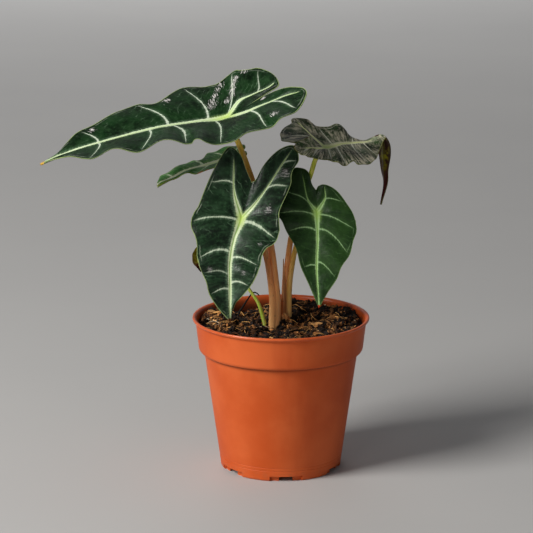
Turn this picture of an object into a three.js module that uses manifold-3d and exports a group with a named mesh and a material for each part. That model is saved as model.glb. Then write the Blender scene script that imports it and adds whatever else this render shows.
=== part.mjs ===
// A young alocasia polly in a 12 cm nursery pot: millimetres, +Z up, seen from -Y.
// The origin is the middle of the pot's foot, on the surface that the pot stands on.
import * as THREE from 'three';
import { mergeVertices } from 'three/addons/utils/BufferGeometryUtils.js';
import Module from 'manifold-3d';

const wasm = await Module();
wasm.setup();

// Clearance between two pieces that touch
const GAP = 0.3;

// Thin-walled plastic pot: the rim's band stands out over a tapering body
const POT = {
  rim: 60, height: 104.5, lip: 2.6, wall: 1.2, sides: 48,
  bandTop: 57.9, bandFoot: 55.6, bandHeight: 23,
  shoulder: 52.2, foot: 41, footRing: 2.6, floor: 3.4, disc: 18,
};
// Six drain notches in the foot: a mouth through the foot ring, with a wider seat cut in its outer part
const NOTCH = { count: 6, turn: 5, width: 22, mouth: 9.5, mouthStart: 4, depth: 8, height: 3.3, seat: 39 };
const DRAIN = { radius: 2.5, ring: 29, sides: 12 };

// Soil: its level, the fall to the wall, the heaps as x, y, height and spread, and the lumps of its
// surface as height, waves along x and y, and phase. clear is the room left to the pot's inner face, and
// edge how much further in the surface ends.
const SOIL = {
  level: 94, edgeDrop: 1.5, clear: 0.4, edge: 1, rings: 12, sides: 44,
  heaps: [[1, 14, 4, 12], [8, 44, 7.5, 13], [44, 14, 7, 12], [-44, 8, 5, 12]],
  lumps: [[1.1, 0.31, 0.12, 1.0], [1.0, -0.16, 0.37, 0.4], [0.7, 0.55, 0.48, 2.1], [0.6, 0.66, -0.58, 0.9]],
};

// Corm in the soil, as radius and height
const ROOTSTOCK = { x: 0, y: 5, sides: 20, rings: [[9, 79.4], [11, 76.5], [11.6, 70], [9, 61.5], [4, 56.5]] };
const STEM_FOOT = ROOTSTOCK.rings[0][1] + GAP;

// Petioles: the route above the soil, and the radius at the foot, half-way and at the leaf
const STEM_SIDES = 10;
const STEMS = {
  tall_left: {
    radius: [3.1, 2.1, 1.8],
    route: [[-3, 1, STEM_FOOT], [-3.5, 0, 96.5], [-3, 1, 115], [-4.5, 1.5, 132], [-6.5, 3, 149.5],
      [-11, 7, 172.5], [-19, 9.5, 195], [-25.5, 9.5, 213.5], [-30, 8, 225], [-36.5, 5, 240]],
  },
  front_left: {
    radius: [3, 2, 1.6],
    route: [[-5, -0.5, STEM_FOOT], [-5.5, -1, 97], [-5.5, -1, 115.5], [-7.5, -1, 132.5], [-10, -1, 146],
      [-14, 2, 158], [-20, 3, 167.5], [-26.5, -9, 174]],
  },
  small_back: {
    radius: [2.2, 1.4, 1.2],
    route: [[-2, 4.5, STEM_FOOT], [-2.5, 5, 99], [-3.5, 7, 113.5], [-5.5, 11, 129.5], [-8, 15, 147],
      [-15, 21, 170], [-24, 28, 192.5], [-33.5, 31, 208.5]],
  },
  upper_right: {
    radius: [2.6, 1.9, 1.6],
    route: [[2.5, 10.5, STEM_FOOT], [3, 12.5, 101.5], [3, 13, 119], [4, 13, 133], [6.5, 15, 153.5],
      [11, 17, 172.5], [15.5, 17, 186.5], [20, 14, 199.5], [23.5, 11, 211], [29.5, 10, 218.5]],
  },
  front_right: {
    radius: [2.5, 1.9, 1.4],
    route: [[4.5, 9.5, STEM_FOOT], [5, 11.5, 102], [5.5, 12, 119.5], [7, 12, 133.5], [10, 12, 149],
      [15, 13, 161], [20, 12, 169.5], [24, 4, 175.5]],
  },
  old: {
    radius: [1.4, 1.1, 0.9],
    route: [[-10.2, -1, STEM_FOOT + 6], [-10.5, 0, 95.5], [-12.5, 1, 104], [-15.5, 2, 113], [-21, 4, 121],
      [-28.5, 8, 131], [-37.5, 12, 141], [-44.5, 15, 149], [-48, 14, 152.5]],
  },
};
// Dry tip of the sheath leaf, beside the right-hand petioles
const SHEATH_TIP = { radius: [1.6, 1.1, 0.3], route: [[3, 11, 106], [2.4, 10.6, 122], [1.6, 9.8, 144]] };

// Leaf blades. A blade is drawn flat, with y along the midrib from the petiole and x across it, and is
// then bent over its spine. facing is the upper face's direction, fold how many degrees the two halves
// rise from it, and curl how much further they turn out to the margin. rise is the slope at which each
// lobe leaves the spine behind the cleft. A rib is its root, the place on the margin that it runs to,
// whether it is a vein, and how far the margin is lifted there. A root above 0 is a share of the midrib,
// and one below 0 a share of the lobe's own vein, first along its outer side and then back on its inner.
//
// Below: the blade's thickness, how much deeper and how wide the ribs are, how high the fields between
// veins swell, how many samples a spine has, and the share by which a mesh step may be over the leaf's own
const BLADE = { thickness: 0.8, ridge: 0.8, ridgeWidth: 2.5, quilt: 0.8, samples: 240, slack: 0.3 };
// How far the ribs bow away from the tip, and the lengths over which that comes in and goes out
const BOW = { depth: 0.1, tip: 0.2, petiole: 0.3, lobe: 0.2 };
// The cleft between the lobes: where it starts, half its least width, and how soon it has that width
const CLEFT = { start: 10, slit: 0.4, ease: 0.125 };
// Distance from the midrib in which its thickness turns with the fold
const TILT = 3;
// The margin's wave has its full height from this travel on
const WAVE_START = 0.5;
const ACROSS = [0, 0.1, 0.36, 0.68, 1];
const LEAVES = {
  tall_left: {
    junction: 2, curl: -9, width: 42, wave: [4, 1.5], scallop: 3.2, step: 7, rise: [0, 0],
    spine: [[10, 6, 265.5], [-15.5, 6, 252], [-36.5, 5, 240], [-56, 2, 237.5], [-80.5, -2, 234.5],
      [-107, -6, 228.5], [-133, -9, 221.5], [-160, -11, 211.5]],
    facing: [[-0.1, -0.35, 0.93], [0, -0.34, 0.93], [0, -0.33, 0.93], [0, -0.33, 0.94], [0, -0.33, 0.94],
      [0, -0.33, 0.94], [0, -0.33, 0.94], [0, -0.33, 0.94]],
    fold: [[6, 12], [8, 14], [10, 14], [10, 10], [10, 10], [10, 10], [14, 14], [24, 24]],
    plus: {
      lobe: [[15, -29.5], [20.5, -53]],
      ribs: [[0.86, 9.5, 111, 0], [0.68, 23.5, 95.5, 1], [0.41, 30, 63, 1], [0.29, 33, 32.5, 1],
        [0.23, 34, 26.5, 0], [0.15, 39.5, 20, 0], [0.07, 39, 10, 1], [0, 42.5, 0, 0], [-0.1, 38.5, -9.5, 0],
        [-0.27, 42, -24, 1], [-0.4, 45, -35.5, 0], [-0.55, 37.5, -48, 1], [-0.75, 29.5, -55, 0],
        [-0.92, 25.5, -57, 0], [-1, 21, -55.5, 0], [-0.85, 16.5, -51.5, 0], [-0.7, 11.5, -47, 0],
        [-0.5, 6, -40.5, 0], [-0.3, 1.5, -30, 0], [0, 0, -18, 0]],
    },
    minus: {
      lobe: [[-8, -21], [-9, -38.5]],
      ribs: [[0.97, -1, 121.5, 0], [0.93, -2.5, 116.5, 0], [0.85, -9.5, 107, 0], [0.68, -17, 97.5, 1],
        [0.58, -20.5, 84.5, 0], [0.45, -27.5, 68, 0], [0.31, -30.5, 56, 1], [0.2, -26.5, 43, 0],
        [0.1, -42, 23, 1], [0.07, -36.5, 8.5, 0], [0.04, -34, -3, 0], [0.01, -37, -17.5, 1],
        [-0.25, -33.5, -22, 0], [-0.4, -30, -27.5, 0], [-0.6, -28, -32.5, 1], [-0.85, -20, -38, 0],
        [-1, -11, -41, 0], [-0.9, -4, -41.5, 0], [-0.75, -1.5, -40, 0], [-0.5, -1.5, -33, 0],
        [0, 0, -18, 0]],
    },
  },
  front_left: {
    junction: 2, curl: -15, width: 32, wave: [2, 2], scallop: 2.4, step: 7, rise: [0, 0],
    spine: [[-15, 1, 218.5], [-19.5, -4.5, 198], [-26.5, -9, 174], [-31.5, -14, 160.5], [-34, -19, 146.5],
      [-34, -24, 128.5], [-33.5, -28, 106]],
    facing: [[-0.15, -1, 0.15], [-0.1, -1, 0.2], [-0.05, -1, 0.25], [0, -1, 0.28], [0, -1, 0.3],
      [0, -1, 0.28], [0, -1, 0.2]],
    fold: [[8, 8], [10, 10], [12, 12], [12, 12], [12, 12], [16, 16], [24, 24]],
    plus: {
      lobe: [[6, -12], [12, -27], [21.5, -50.5]],
      ribs: [[0.97, 0.5, 68.5, 0], [0.92, 1.5, 63.5, 0], [0.84, 4, 58, 0], [0.75, 8.5, 53.5, 0],
        [0.62, 14, 47, 1], [0.5, 18, 41, 0], [0.39, 20.5, 32.5, 1], [0.04, 27.5, 5.5, 1], [0, 25, -6, 0],
        [-0.2, 23.5, -13.5, 0], [-0.6, 26, -29, 1], [-0.87, 28, -45.5, 1], [-1, 23, -54.5, 0],
        [-0.8, 14, -50, 0], [-0.5, 6, -38, 0], [-0.2, 2.5, -28, 0], [0, 0, -25, 0]],
    },
    minus: {
      lobe: [[-10, -17], [-15, -39.5]],
      ribs: [[0.93, -2.5, 68, 0], [0.84, -8.5, 61, 0], [0.68, -14, 52, 1], [0.62, -16, 44, 0],
        [0.55, -18.5, 38, 1], [0.45, -20.5, 34, 0], [0.34, -22, 30, 1], [0.03, -31, 13, 1], [0, -30, 3, 0],
        [-0.6, -28.5, -17.5, 1], [-0.85, -25.5, -33, 0], [-1, -20, -45, 0], [-0.8, -11.5, -42, 0],
        [-0.4, -5.5, -32.5, 0], [0, 0, -25, 0]],
    },
  },
  front_right: {
    junction: 2, curl: -14, width: 28, wave: [1.5, 1.5], scallop: 1, step: 7, rise: [0, 0],
    spine: [[22.5, 13, 202.5], [23.5, 8.5, 189.5], [24, 4, 175.5], [24.5, -1, 157.5], [24, -6, 138],
      [25.5, -11, 112.5]],
    facing: [[0, -1, 0.35], [0, -1, 0.35], [0, -1, 0.35], [0, -1, 0.3], [0, -1, 0.28], [0, -1, 0.25]],
    fold: [[6, 6], [8, 8], [10, 10], [10, 10], [12, 12], [20, 20]],
    plus: {
      lobe: [[5.5, -8.5], [5.5, -16]],
      ribs: [[0.78, 6.5, 55, 0], [0.52, 13.5, 45.5, 1], [0.18, 22, 28, 1], [0.03, 26.5, 13, 1],
        [0, 24.5, 2.5, 0], [-0.5, 19.5, -6.5, 1], [-0.8, 13.5, -14, 0], [-1, 6.5, -18, 0],
        [-0.5, 2, -17.5, 0], [0, 0, -15, 0]],
    },
    minus: {
      lobe: [[-6, -9], [-8.5, -27]],
      ribs: [[0.8, -4.5, 52, 0], [0.56, -10.5, 37.5, 1], [0.2, -21, 12.5, 1], [0.05, -27.5, 0, 1],
        [0, -27, -5, 0], [-0.3, -23, -17, 1], [-0.8, -15, -29.5, 0], [-1, -9.5, -30.5, 0],
        [-0.8, -4.5, -27.5, 0], [-0.4, -2.5, -19, 0], [0, 0, -15, 0]],
    },
  },
  upper_right: {
    junction: 2, curl: -5, width: 26, wave: [1, 1.5], scallop: 1.5, step: 7, rise: [-0.14, 0.14],
    spine: [[4.5, -12.5, 228.5], [17, -1.5, 224], [29.5, 10, 218.5], [41, 22.5, 218.5], [50.5, 32.5, 217.5],
      [60, 41.5, 217], [68.2, 47, 220.8], [70.7, 48.5, 214.5], [71.2, 49, 205.5], [71.5, 49, 195],
      [72, 48, 186], [69.5, 46, 171.5]],
    facing: [[0.18, -0.2, 0.96], [0.18, -0.2, 0.96], [0.18, -0.2, 0.96], [0.18, -0.2, 0.96],
      [0.18, -0.2, 0.96], [0.16, -0.18, 0.97], [0.6, 0.25, 0.75], [0.82, 0.57, 0.1], [0.8, 0.6, 0],
      [0.8, 0.6, 0], [0.8, 0.6, 0], [0.8, 0.55, -0.1]],
    fold: [[-5, -40], [5, -24], [16, -8], [24, 0], [20, -4], [-25, -10], [-45, -16], [-10, 0], [4, 4],
      [6, 6], [10, 10], [20, 20]],
    plus: {
      lobe: [[10, -3], [20.5, -4.5], [30.5, -5.5]],
      ribs: [[0.86, 2.5, 89, 0], [0.76, 5, 80, 0], [0.62, 8, 65, 0], [0.5, 9, 54, 0], [0.42, 8, 47, 0],
        [0.36, 9.5, 42, 0], [0.3, 7, 37.5, 0], [0.27, 8.5, 35.5, 1], [0.24, 11, 33.5, 0],
        [0.22, 13, 32.5, 0], [0.2, 16, 29.5, 0], [0.17, 18, 25, 0], [0.13, 17, 18, 0], [0.09, 20, 11, 1],
        [0, 24, 9.5, 0], [-0.3, 28, 8.5, 0], [-0.6, 32, 3, 0], [-0.9, 34.5, -4, 0], [-1, 33.5, -8, 0],
        [-0.9, 29, -11, 0], [-0.8, 26, -16, 0], [-0.65, 23, -21, 0], [-0.5, 18.5, -26, 0],
        [-0.35, 13.5, -29, 1], [-0.25, 6.5, -33, 0], [-0.15, 1.5, -32, 0], [-0.08, 1, -24, 0],
        [0, 0, -10, 0]],
    },
    minus: {
      lobe: [[-5, -14], [-8.4, -25.5]],
      ribs: [[0.86, -2, 90, 0], [0.76, -3.5, 80, 0], [0.64, -6, 69, 0], [0.52, -6, 55, 0],
        [0.44, -9, 47, 0], [0.36, -18, 36, 1], [0.31, -26.5, 23, 0], [0.25, -28.5, 14, 1],
        [0.2, -27, 9.5, 0], [0.17, -25, 6, 0], [0.15, -21, 6.5, 0], [0.13, -21, 3.5, 0], [0.1, -21.5, 1, 1],
        [0.05, -19, -3, 0], [0.02, -15, -4.5, 1], [0, -15.5, -10.5, 0], [-0.1, -16, -18, 0],
        [-0.3, -14.5, -21, 1], [-0.55, -15, -27, 0], [-0.75, -13, -29.5, 1], [-0.9, -12, -32.5, 0],
        [-1, -9.5, -34.5, 0], [-0.8, -5.5, -31, 0], [-0.6, -3, -26, 0, 2], [-0.35, -1.5, -19, 0, 4.5],
        [-0.15, -1, -13.5, 0, 2], [0, 0, -10, 0]],
    },
  },
  small_back: {
    junction: 1, curl: -7, width: 20, wave: [1.5, 1], scallop: 1.8, step: 7, rise: [0, 0],
    spine: [[-21, 34, 213], [-33.5, 31, 208.5], [-44, 29, 204.5], [-56, 27, 201.5], [-68.5, 25, 197.5],
      [-84.5, 23, 189.5]],
    facing: [[0, -0.1, 1], [0, -0.1, 1], [0, -0.1, 1], [0, -0.1, 1], [0, -0.1, 1], [0, -0.1, 1]],
    fold: [[6, 6], [6, 6], [6, 6], [6, 6], [6, 6], [10, 10]],
    plus: {
      lobe: [[5, -4], [8, -7.5]],
      ribs: [[0.9, 2, 52.5, 0], [0.75, 4.5, 44, 1], [0.62, 6, 38.5, 0], [0.5, 9.5, 34, 0], [0.4, 9, 31, 0],
        [0.33, 13, 27.5, 1], [0.2, 15, 22, 0], [0.05, 14, 14, 0], [0, 14, 5, 0], [-0.5, 13.5, -3.5, 1],
        [-1, 9, -9, 0], [-0.5, 3.5, -8, 0], [0, 0, -4, 0]],
    },
    minus: {
      lobe: [[-6, -4], [-8, -7]],
      ribs: [[0.97, -5.5, 53.5, 0], [0.9, -9.5, 51.5, 0], [0.8, -12, 48, 1], [0.65, -12.5, 41, 0],
        [0.5, -13, 33, 0], [0.4, -16, 26, 1], [0.33, -11, 22.5, 0], [0.26, -13, 18.5, 0],
        [0.18, -20.5, 14.5, 0], [0.1, -22, 11, 1], [0, -19, 4.5, 0], [-0.4, -16, -3.5, 0],
        [-0.7, -14, -8, 1], [-1, -8.5, -12, 0], [-0.6, -2.5, -10, 0], [0, 0, -4, 0]],
    },
  },
  old: {
    junction: 1, curl: -20, width: 10, wave: [1.5, 1.5], scallop: 1, step: 5, rise: [0, 0],
    spine: [[-47, 16, 155.5], [-48, 14, 152.5], [-52, 10.5, 149], [-55, 7.5, 145], [-56, 5, 140],
      [-54.5, 3.5, 134]],
    facing: [[-0.4, -0.6, 0.7], [-0.5, -0.6, 0.5], [-0.6, -0.7, 0.3], [-0.5, -0.8, 0.1], [-0.4, -0.9, 0],
      [-0.4, -0.9, 0]],
    fold: [[10, 10], [10, 10], [10, 10], [10, 10], [10, 10], [20, 20]],
    plus: {
      lobe: [[2, -2], [3, -4.5]],
      ribs: [[0.7, 4, 15.5, 1], [0.35, 6, 9, 1], [0, 6.5, 1, 0], [-1, 4, -5, 0], [0, 0, -2, 0]],
    },
    minus: {
      lobe: [[-2, -2], [-3, -4.5]],
      ribs: [[0.8, -5, 16.5, 1], [0.4, -7, 10, 1], [0, -7, 1, 0], [-1, -4, -5, 0], [0, 0, -2, 0]],
    },
  },
};

const vector = ([x, y, z = 0]) => new THREE.Vector3(x, y, z);
const curve = (points) => new THREE.CatmullRomCurve3(points.map(vector), false, 'catmullrom', 0.5);
const lerp = THREE.MathUtils.lerp;
const radians = THREE.MathUtils.degToRad;

// A closed geometry as a solid whose faces point out
function solid(geometry) {
  const bare = geometry.clone();
  bare.deleteAttribute('normal');
  bare.deleteAttribute('uv');
  const merged = mergeVertices(bare);
  const corners = merged.index.array;
  const faces = [];
  for (let i = 0; i < corners.length; i += 3) {
    const [a, b, c] = corners.slice(i, i + 3);
    if (a !== b && b !== c && c !== a) faces.push(a, b, c);
  }
  const vertProperties = new Float32Array(merged.attributes.position.array);
  const build = (triVerts) => new wasm.Manifold(new wasm.Mesh({ numProp: 3, vertProperties, triVerts }));
  const body = build(new Uint32Array(faces));
  return body.volume() > 0 ? body : build(new Uint32Array(faces.reverse()));
}

function piece(name, body, material) {
  const shape = body.getMesh();
  const geometry = new THREE.BufferGeometry();
  geometry.setAttribute('position', new THREE.BufferAttribute(shape.vertProperties, 3));
  geometry.setIndex(new THREE.BufferAttribute(shape.triVerts, 1));
  geometry.computeVertexNormals();
  const mesh = new THREE.Mesh(geometry, material);
  mesh.name = name;
  return mesh;
}

function indexed(points, faces) {
  const geometry = new THREE.BufferGeometry();
  geometry.setFromPoints(points);
  geometry.setIndex(faces);
  return geometry;
}

// Rings of equally many points joined into a skin, closed at both ends by a fan to the ring's middle
function loft(rings) {
  const sides = rings[0].length;
  const points = rings.flat();
  const faces = [];
  for (let i = 0; i + 1 < rings.length; i++) {
    for (let j = 0; j < sides; j++) {
      const a = i * sides + j;
      const b = i * sides + (j + 1) % sides;
      faces.push(a, b, b + sides, a, b + sides, a + sides);
    }
  }
  for (const [ring, start, turned] of [[rings[0], 0, true], [rings.at(-1), points.length - sides, false]]) {
    const middle = ring.reduce((sum, p) => sum.add(p), new THREE.Vector3()).divideScalar(sides);
    const hub = points.push(middle) - 1;
    for (let j = 0; j < sides; j++) {
      const [a, b] = [start + j, start + (j + 1) % sides];
      faces.push(...(turned ? [hub, b, a] : [hub, a, b]));
    }
  }
  return solid(indexed(points, faces));
}

const around = (sides, place) => Array.from({ length: sides }, (_, j) => place((2 * Math.PI * j) / sides));
const circle = (x, y, z, radius, sides) => around(sides, (turn) => new THREE.Vector3(
  x + radius * Math.cos(turn), y + radius * Math.sin(turn), z));

// Inner face of the pot from the lip down to the middle of its floor, as radius and height
function potInside() {
  const { height, lip, wall, bandTop, bandFoot, bandHeight, shoulder, foot, floor, disc } = POT;
  const step = height - bandHeight;
  return [
    [bandTop - wall, height - lip], [bandFoot - wall, step + wall + 0.9],
    [shoulder - wall + 0.3, step + wall], [shoulder - wall, step - 1], [foot - wall, floor + wall + 0.8],
    [foot - wall - 0.8, floor + wall], [disc + 2.7, floor + wall], [disc + 0.4, wall], [0, wall],
  ];
}

function pot() {
  const { rim, height, lip, bandTop, bandFoot, bandHeight, shoulder, foot, footRing, floor, disc } = POT;
  const step = height - bandHeight;
  const outside = [
    [0, 0], [disc, 0], [disc + 2.4, floor], [foot - footRing - 0.4, floor], [foot - footRing, 0],
    [foot - 0.6, 0], [foot, 0.8], [shoulder, step], [bandFoot - 1, step], [bandFoot, step + 1.2],
    [bandTop, height - lip], [rim - 0.4, height - lip + 0.5], [rim, height - lip + 1.3],
    [rim - 0.1, height - 0.6], [rim - 0.9, height], [rim - 2.1, height - 0.3], [rim - 3, height - 1.4],
  ];
  const profile = [...outside, ...potInside()].map(([r, z]) => new THREE.Vector2(r, z));
  let body = solid(new THREE.LatheGeometry(profile, POT.sides).rotateX(Math.PI / 2));
  for (let i = 0; i < NOTCH.count; i++) {
    const turn = radians(NOTCH.turn - 90 + (i * 360) / NOTCH.count);
    const between = turn + Math.PI / NOTCH.count;
    const cut = (from, width) => solid(new THREE.BoxGeometry(NOTCH.depth, width, 2 * NOTCH.height)
      .translate(from + NOTCH.depth / 2, 0, 0).rotateZ(turn));
    const drain = new THREE.CylinderGeometry(DRAIN.radius, DRAIN.radius, 4 * floor, DRAIN.sides)
      .rotateX(Math.PI / 2)
      .translate(DRAIN.ring * Math.cos(between), DRAIN.ring * Math.sin(between), floor);
    body = body.subtract(cut(NOTCH.seat - NOTCH.mouthStart, NOTCH.mouth))
      .subtract(cut(NOTCH.seat, NOTCH.width))
      .subtract(solid(drain));
  }
  return body;
}

// Height of the soil's surface: heaps, a fall to the wall and lumps that are lower there
function soilHeight(x, y) {
  const { level, edgeDrop, heaps, lumps } = SOIL;
  const edge = Math.min(1, Math.hypot(x, y) / POT.bandFoot);
  const heaped = heaps.reduce((sum, [hx, hy, height, spread]) => (
    sum + height * Math.exp(-((x - hx) ** 2 + (y - hy) ** 2) / (2 * spread ** 2))), 0);
  const lumped = lumps.reduce((sum, [size, kx, ky, phase]) => (
    sum + size * Math.sin(kx * x + ky * y + phase)), 0);
  return level + heaped - edgeDrop * edge ** 4 + lumped * (1 - 0.6 * edge ** 6);
}

function soil() {
  const { clear, edge, rings, sides } = SOIL;
  const inside = potInside().map(([r, z]) => [r - clear, z + clear]);
  const width = inside[0][0] - edge;
  const top = Array.from({ length: rings }, (_, i) => around(sides, (turn) => {
    const r = (width * (i + 1)) / rings;
    const [x, y] = [r * Math.cos(turn), r * Math.sin(turn)];
    return new THREE.Vector3(x, y, soilHeight(x, y));
  }));
  const wall = inside.slice(1, -1).map(([r, z]) => circle(0, 0, z, r, sides));
  return loft([...top, ...wall]);
}

// Round stem along a curve, with its radius given at the foot, half-way and at the end
function stem({ route, radius }, grow = 0) {
  const path = curve(route);
  const steps = 2 * (route.length - 1);
  const frames = path.computeFrenetFrames(steps);
  const [low, middle, top] = radius;
  const rings = [];
  for (let i = 0; i <= steps; i++) {
    const share = i / steps;
    const place = path.getPointAt(share);
    const width = grow + (share < 0.5 ? lerp(low, middle, 2 * share) : lerp(middle, top, 2 * share - 1));
    rings.push(around(STEM_SIDES, (turn) => place.clone()
      .addScaledVector(frames.normals[i], width * Math.cos(turn))
      .addScaledVector(frames.binormals[i], width * Math.sin(turn))));
  }
  return loft(rings);
}

function rootstock(grow = 0) {
  const { x, y, sides, rings } = ROOTSTOCK;
  const last = rings.length - 1;
  return loft(rings.map(([radius, z], i) => {
    const end = (i === 0 ? grow : 0) - (i === last ? grow : 0);
    return circle(x, y, z + end, radius + grow, sides);
  }));
}

// The spine of a blade: its place, direction and upper face at each distance y from the petiole
class Spine {
  constructor({ spine, facing, fold, junction }) {
    const count = BLADE.samples;
    const route = curve(spine);
    const face = curve(facing);
    const folds = curve(fold);
    this.samples = Array.from({ length: count + 1 }, (_, i) => {
      const t = i / count;
      const along = route.getTangent(t);
      const normal = face.getPoint(t);
      normal.addScaledVector(along, -normal.dot(along)).normalize();
      return { place: route.getPoint(t), along, normal, fold: folds.getPoint(t), y: 0 };
    });
    for (let i = 1; i <= count; i++) {
      this.samples[i].y = this.samples[i - 1].y + this.samples[i].place.distanceTo(this.samples[i - 1].place);
    }
    const start = this.samples[Math.round((junction * count) / (spine.length - 1))].y;
    for (const sample of this.samples) sample.y -= start;
    this.length = this.samples.at(-1).y;
  }

  at(y) {
    const all = this.samples;
    let i = all.findIndex((sample) => sample.y >= y);
    i = i < 0 ? all.length - 1 : Math.max(1, i);
    const [a, b] = [all[i - 1], all[i]];
    const share = Math.min(1, Math.max(0, (y - a.y) / (b.y - a.y)));
    const mix = (key) => a[key].clone().lerp(b[key], share);
    const beyond = Math.max(0, y - this.length) + Math.min(0, y - all[0].y);
    const along = mix('along').normalize();
    const place = mix('place').addScaledVector(along, beyond);
    return { place, along, normal: mix('normal').normalize(), fold: mix('fold') };
  }
}

// A flat point x, y lifted off the blade's face: each half turns about the spine by its fold, and then
// on by the curl
function bend(leaf, spine, x, y, lift) {
  const { place, along, normal, fold } = spine.at(y);
  const across = normal.clone().cross(along).normalize();
  const side = x < 0 ? -1 : 1;
  const reach = Math.abs(x);
  const start = radians(x < 0 ? fold.y : fold.x);
  const bending = radians(leaf.curl) / leaf.width;
  const end = start + bending * reach;
  const tilt = end * Math.min(1, reach / TILT);
  const rise = leaf.rise[x < 0 ? 1 : 0] * Math.max(0, -y - CLEFT.start);
  const out = (Math.sin(end) - Math.sin(start)) / bending - Math.sin(tilt) * lift;
  const high = (Math.cos(start) - Math.cos(end)) / bending + Math.cos(tilt) * lift + rise;
  return place.addScaledVector(across, side * out).addScaledVector(normal, high);
}

// One half of a blade. Its ribs are counted by their travel: 0 at the tip, 1 at the petiole, 2 at the
// lobe's end and 3 back at the petiole, where the two halves meet along the cleft.
class Half {
  constructor(leaf, name, length) {
    const { lobe, ribs } = leaf[name];
    const end = ribs.findIndex(([root]) => root === -1);
    const plus = name === 'plus';
    Object.assign(this, { leaf, length, side: plus ? 1 : -1, wave: leaf.wave[plus ? 0 : 1] });
    this.travel = [0, ...ribs.map(([root], i) => (i <= end ? 1 - root : 3 + root))];
    this.vein = [1, ...ribs.map((rib) => rib[3])];
    this.margin = curve([[0, length], ...ribs.map(([, x, y, , up = 0]) => [x, y, up])]);
    this.lobe = curve([[0, 0], ...lobe]);
    const marks = this.vein.flatMap((vein, i) => (vein || i === ribs.length ? [i] : []));
    this.phase = this.travel.map((_, i) => {
      const after = marks.findIndex((mark) => mark >= i);
      return after === 0 ? 0 : after - (marks[after] - i) / (marks[after] - marks[after - 1]);
    });
  }

  // The rib at a travel: its root, its end on the margin, how far that is up, and its phase, a whole
  // number on a vein
  rib(travel) {
    const last = this.travel.length - 1;
    const after = travel >= this.travel[last] ? last : this.travel.findIndex((mark) => mark > travel);
    const i = Math.max(0, after - 1);
    const share = (travel - this.travel[i]) / (this.travel[i + 1] - this.travel[i]);
    const edge = this.margin.getPoint((i + share) / last);
    const up = edge.z;
    edge.z = 0;
    const phase = lerp(this.phase[i], this.phase[i + 1], share);
    const root = travel <= 1 ? vector([0, (1 - travel) * this.length])
      : this.lobe.getPoint(travel <= 2 ? travel - 1 : 3 - travel);
    const notch = this.vein[i] && this.vein[i + 1] ? this.leaf.scallop * Math.sin(Math.PI * phase) ** 2 : 0;
    edge.addScaledVector(edge.clone().sub(root).normalize(), -notch);
    const slit = travel > 2 ? CLEFT.slit * Math.min(1, (3 - travel) / CLEFT.ease) : 0;
    edge.x = this.side * Math.max(this.side * edge.x, slit);
    return { root, edge, up, phase };
  }

  // The point at share t of a rib that bows away from the tip, with its lift off the flat blade
  point(travel, t) {
    const { root, edge, up, phase } = this.rib(travel);
    const onLobe = Math.max(0, Math.min((travel - 1) / BOW.petiole, 1, (2 - travel) / BOW.lobe));
    const sway = travel < 1 ? Math.min(1, (1 - travel) / BOW.tip) : -onLobe;
    const chord = root.distanceTo(edge);
    const bowed = root.clone().add(edge).multiplyScalar(0.5);
    bowed.y -= BOW.depth * chord * sway;
    const flat = new THREE.QuadraticBezierCurve3(root, bowed, edge).getPoint(t);
    const swell = Math.sin(Math.PI * phase) ** 2;
    const wave = this.wave * Math.min(1, travel / WAVE_START);
    const lift = (swell * wave + up) * t * t + swell * BLADE.quilt * 4 * t * (1 - t);
    return { x: flat.x, y: flat.y, lift, reach: chord * t };
  }
}

// Travels from one knot to the next, split so that the margin's step stays under the leaf's step
function stops(knots, margins, step) {
  const list = [...new Set(knots)].sort((a, b) => a - b);
  return list.slice(0, -1).flatMap((from, i) => {
    const to = list[i + 1];
    const longest = Math.max(...margins.map((margin) => margin(from).distanceTo(margin(to))));
    const parts = Math.max(1, Math.ceil(longest / step - BLADE.slack));
    return Array.from({ length: parts }, (_, k) => lerp(from, to, k / parts));
  }).concat(list.at(-1));
}

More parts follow.
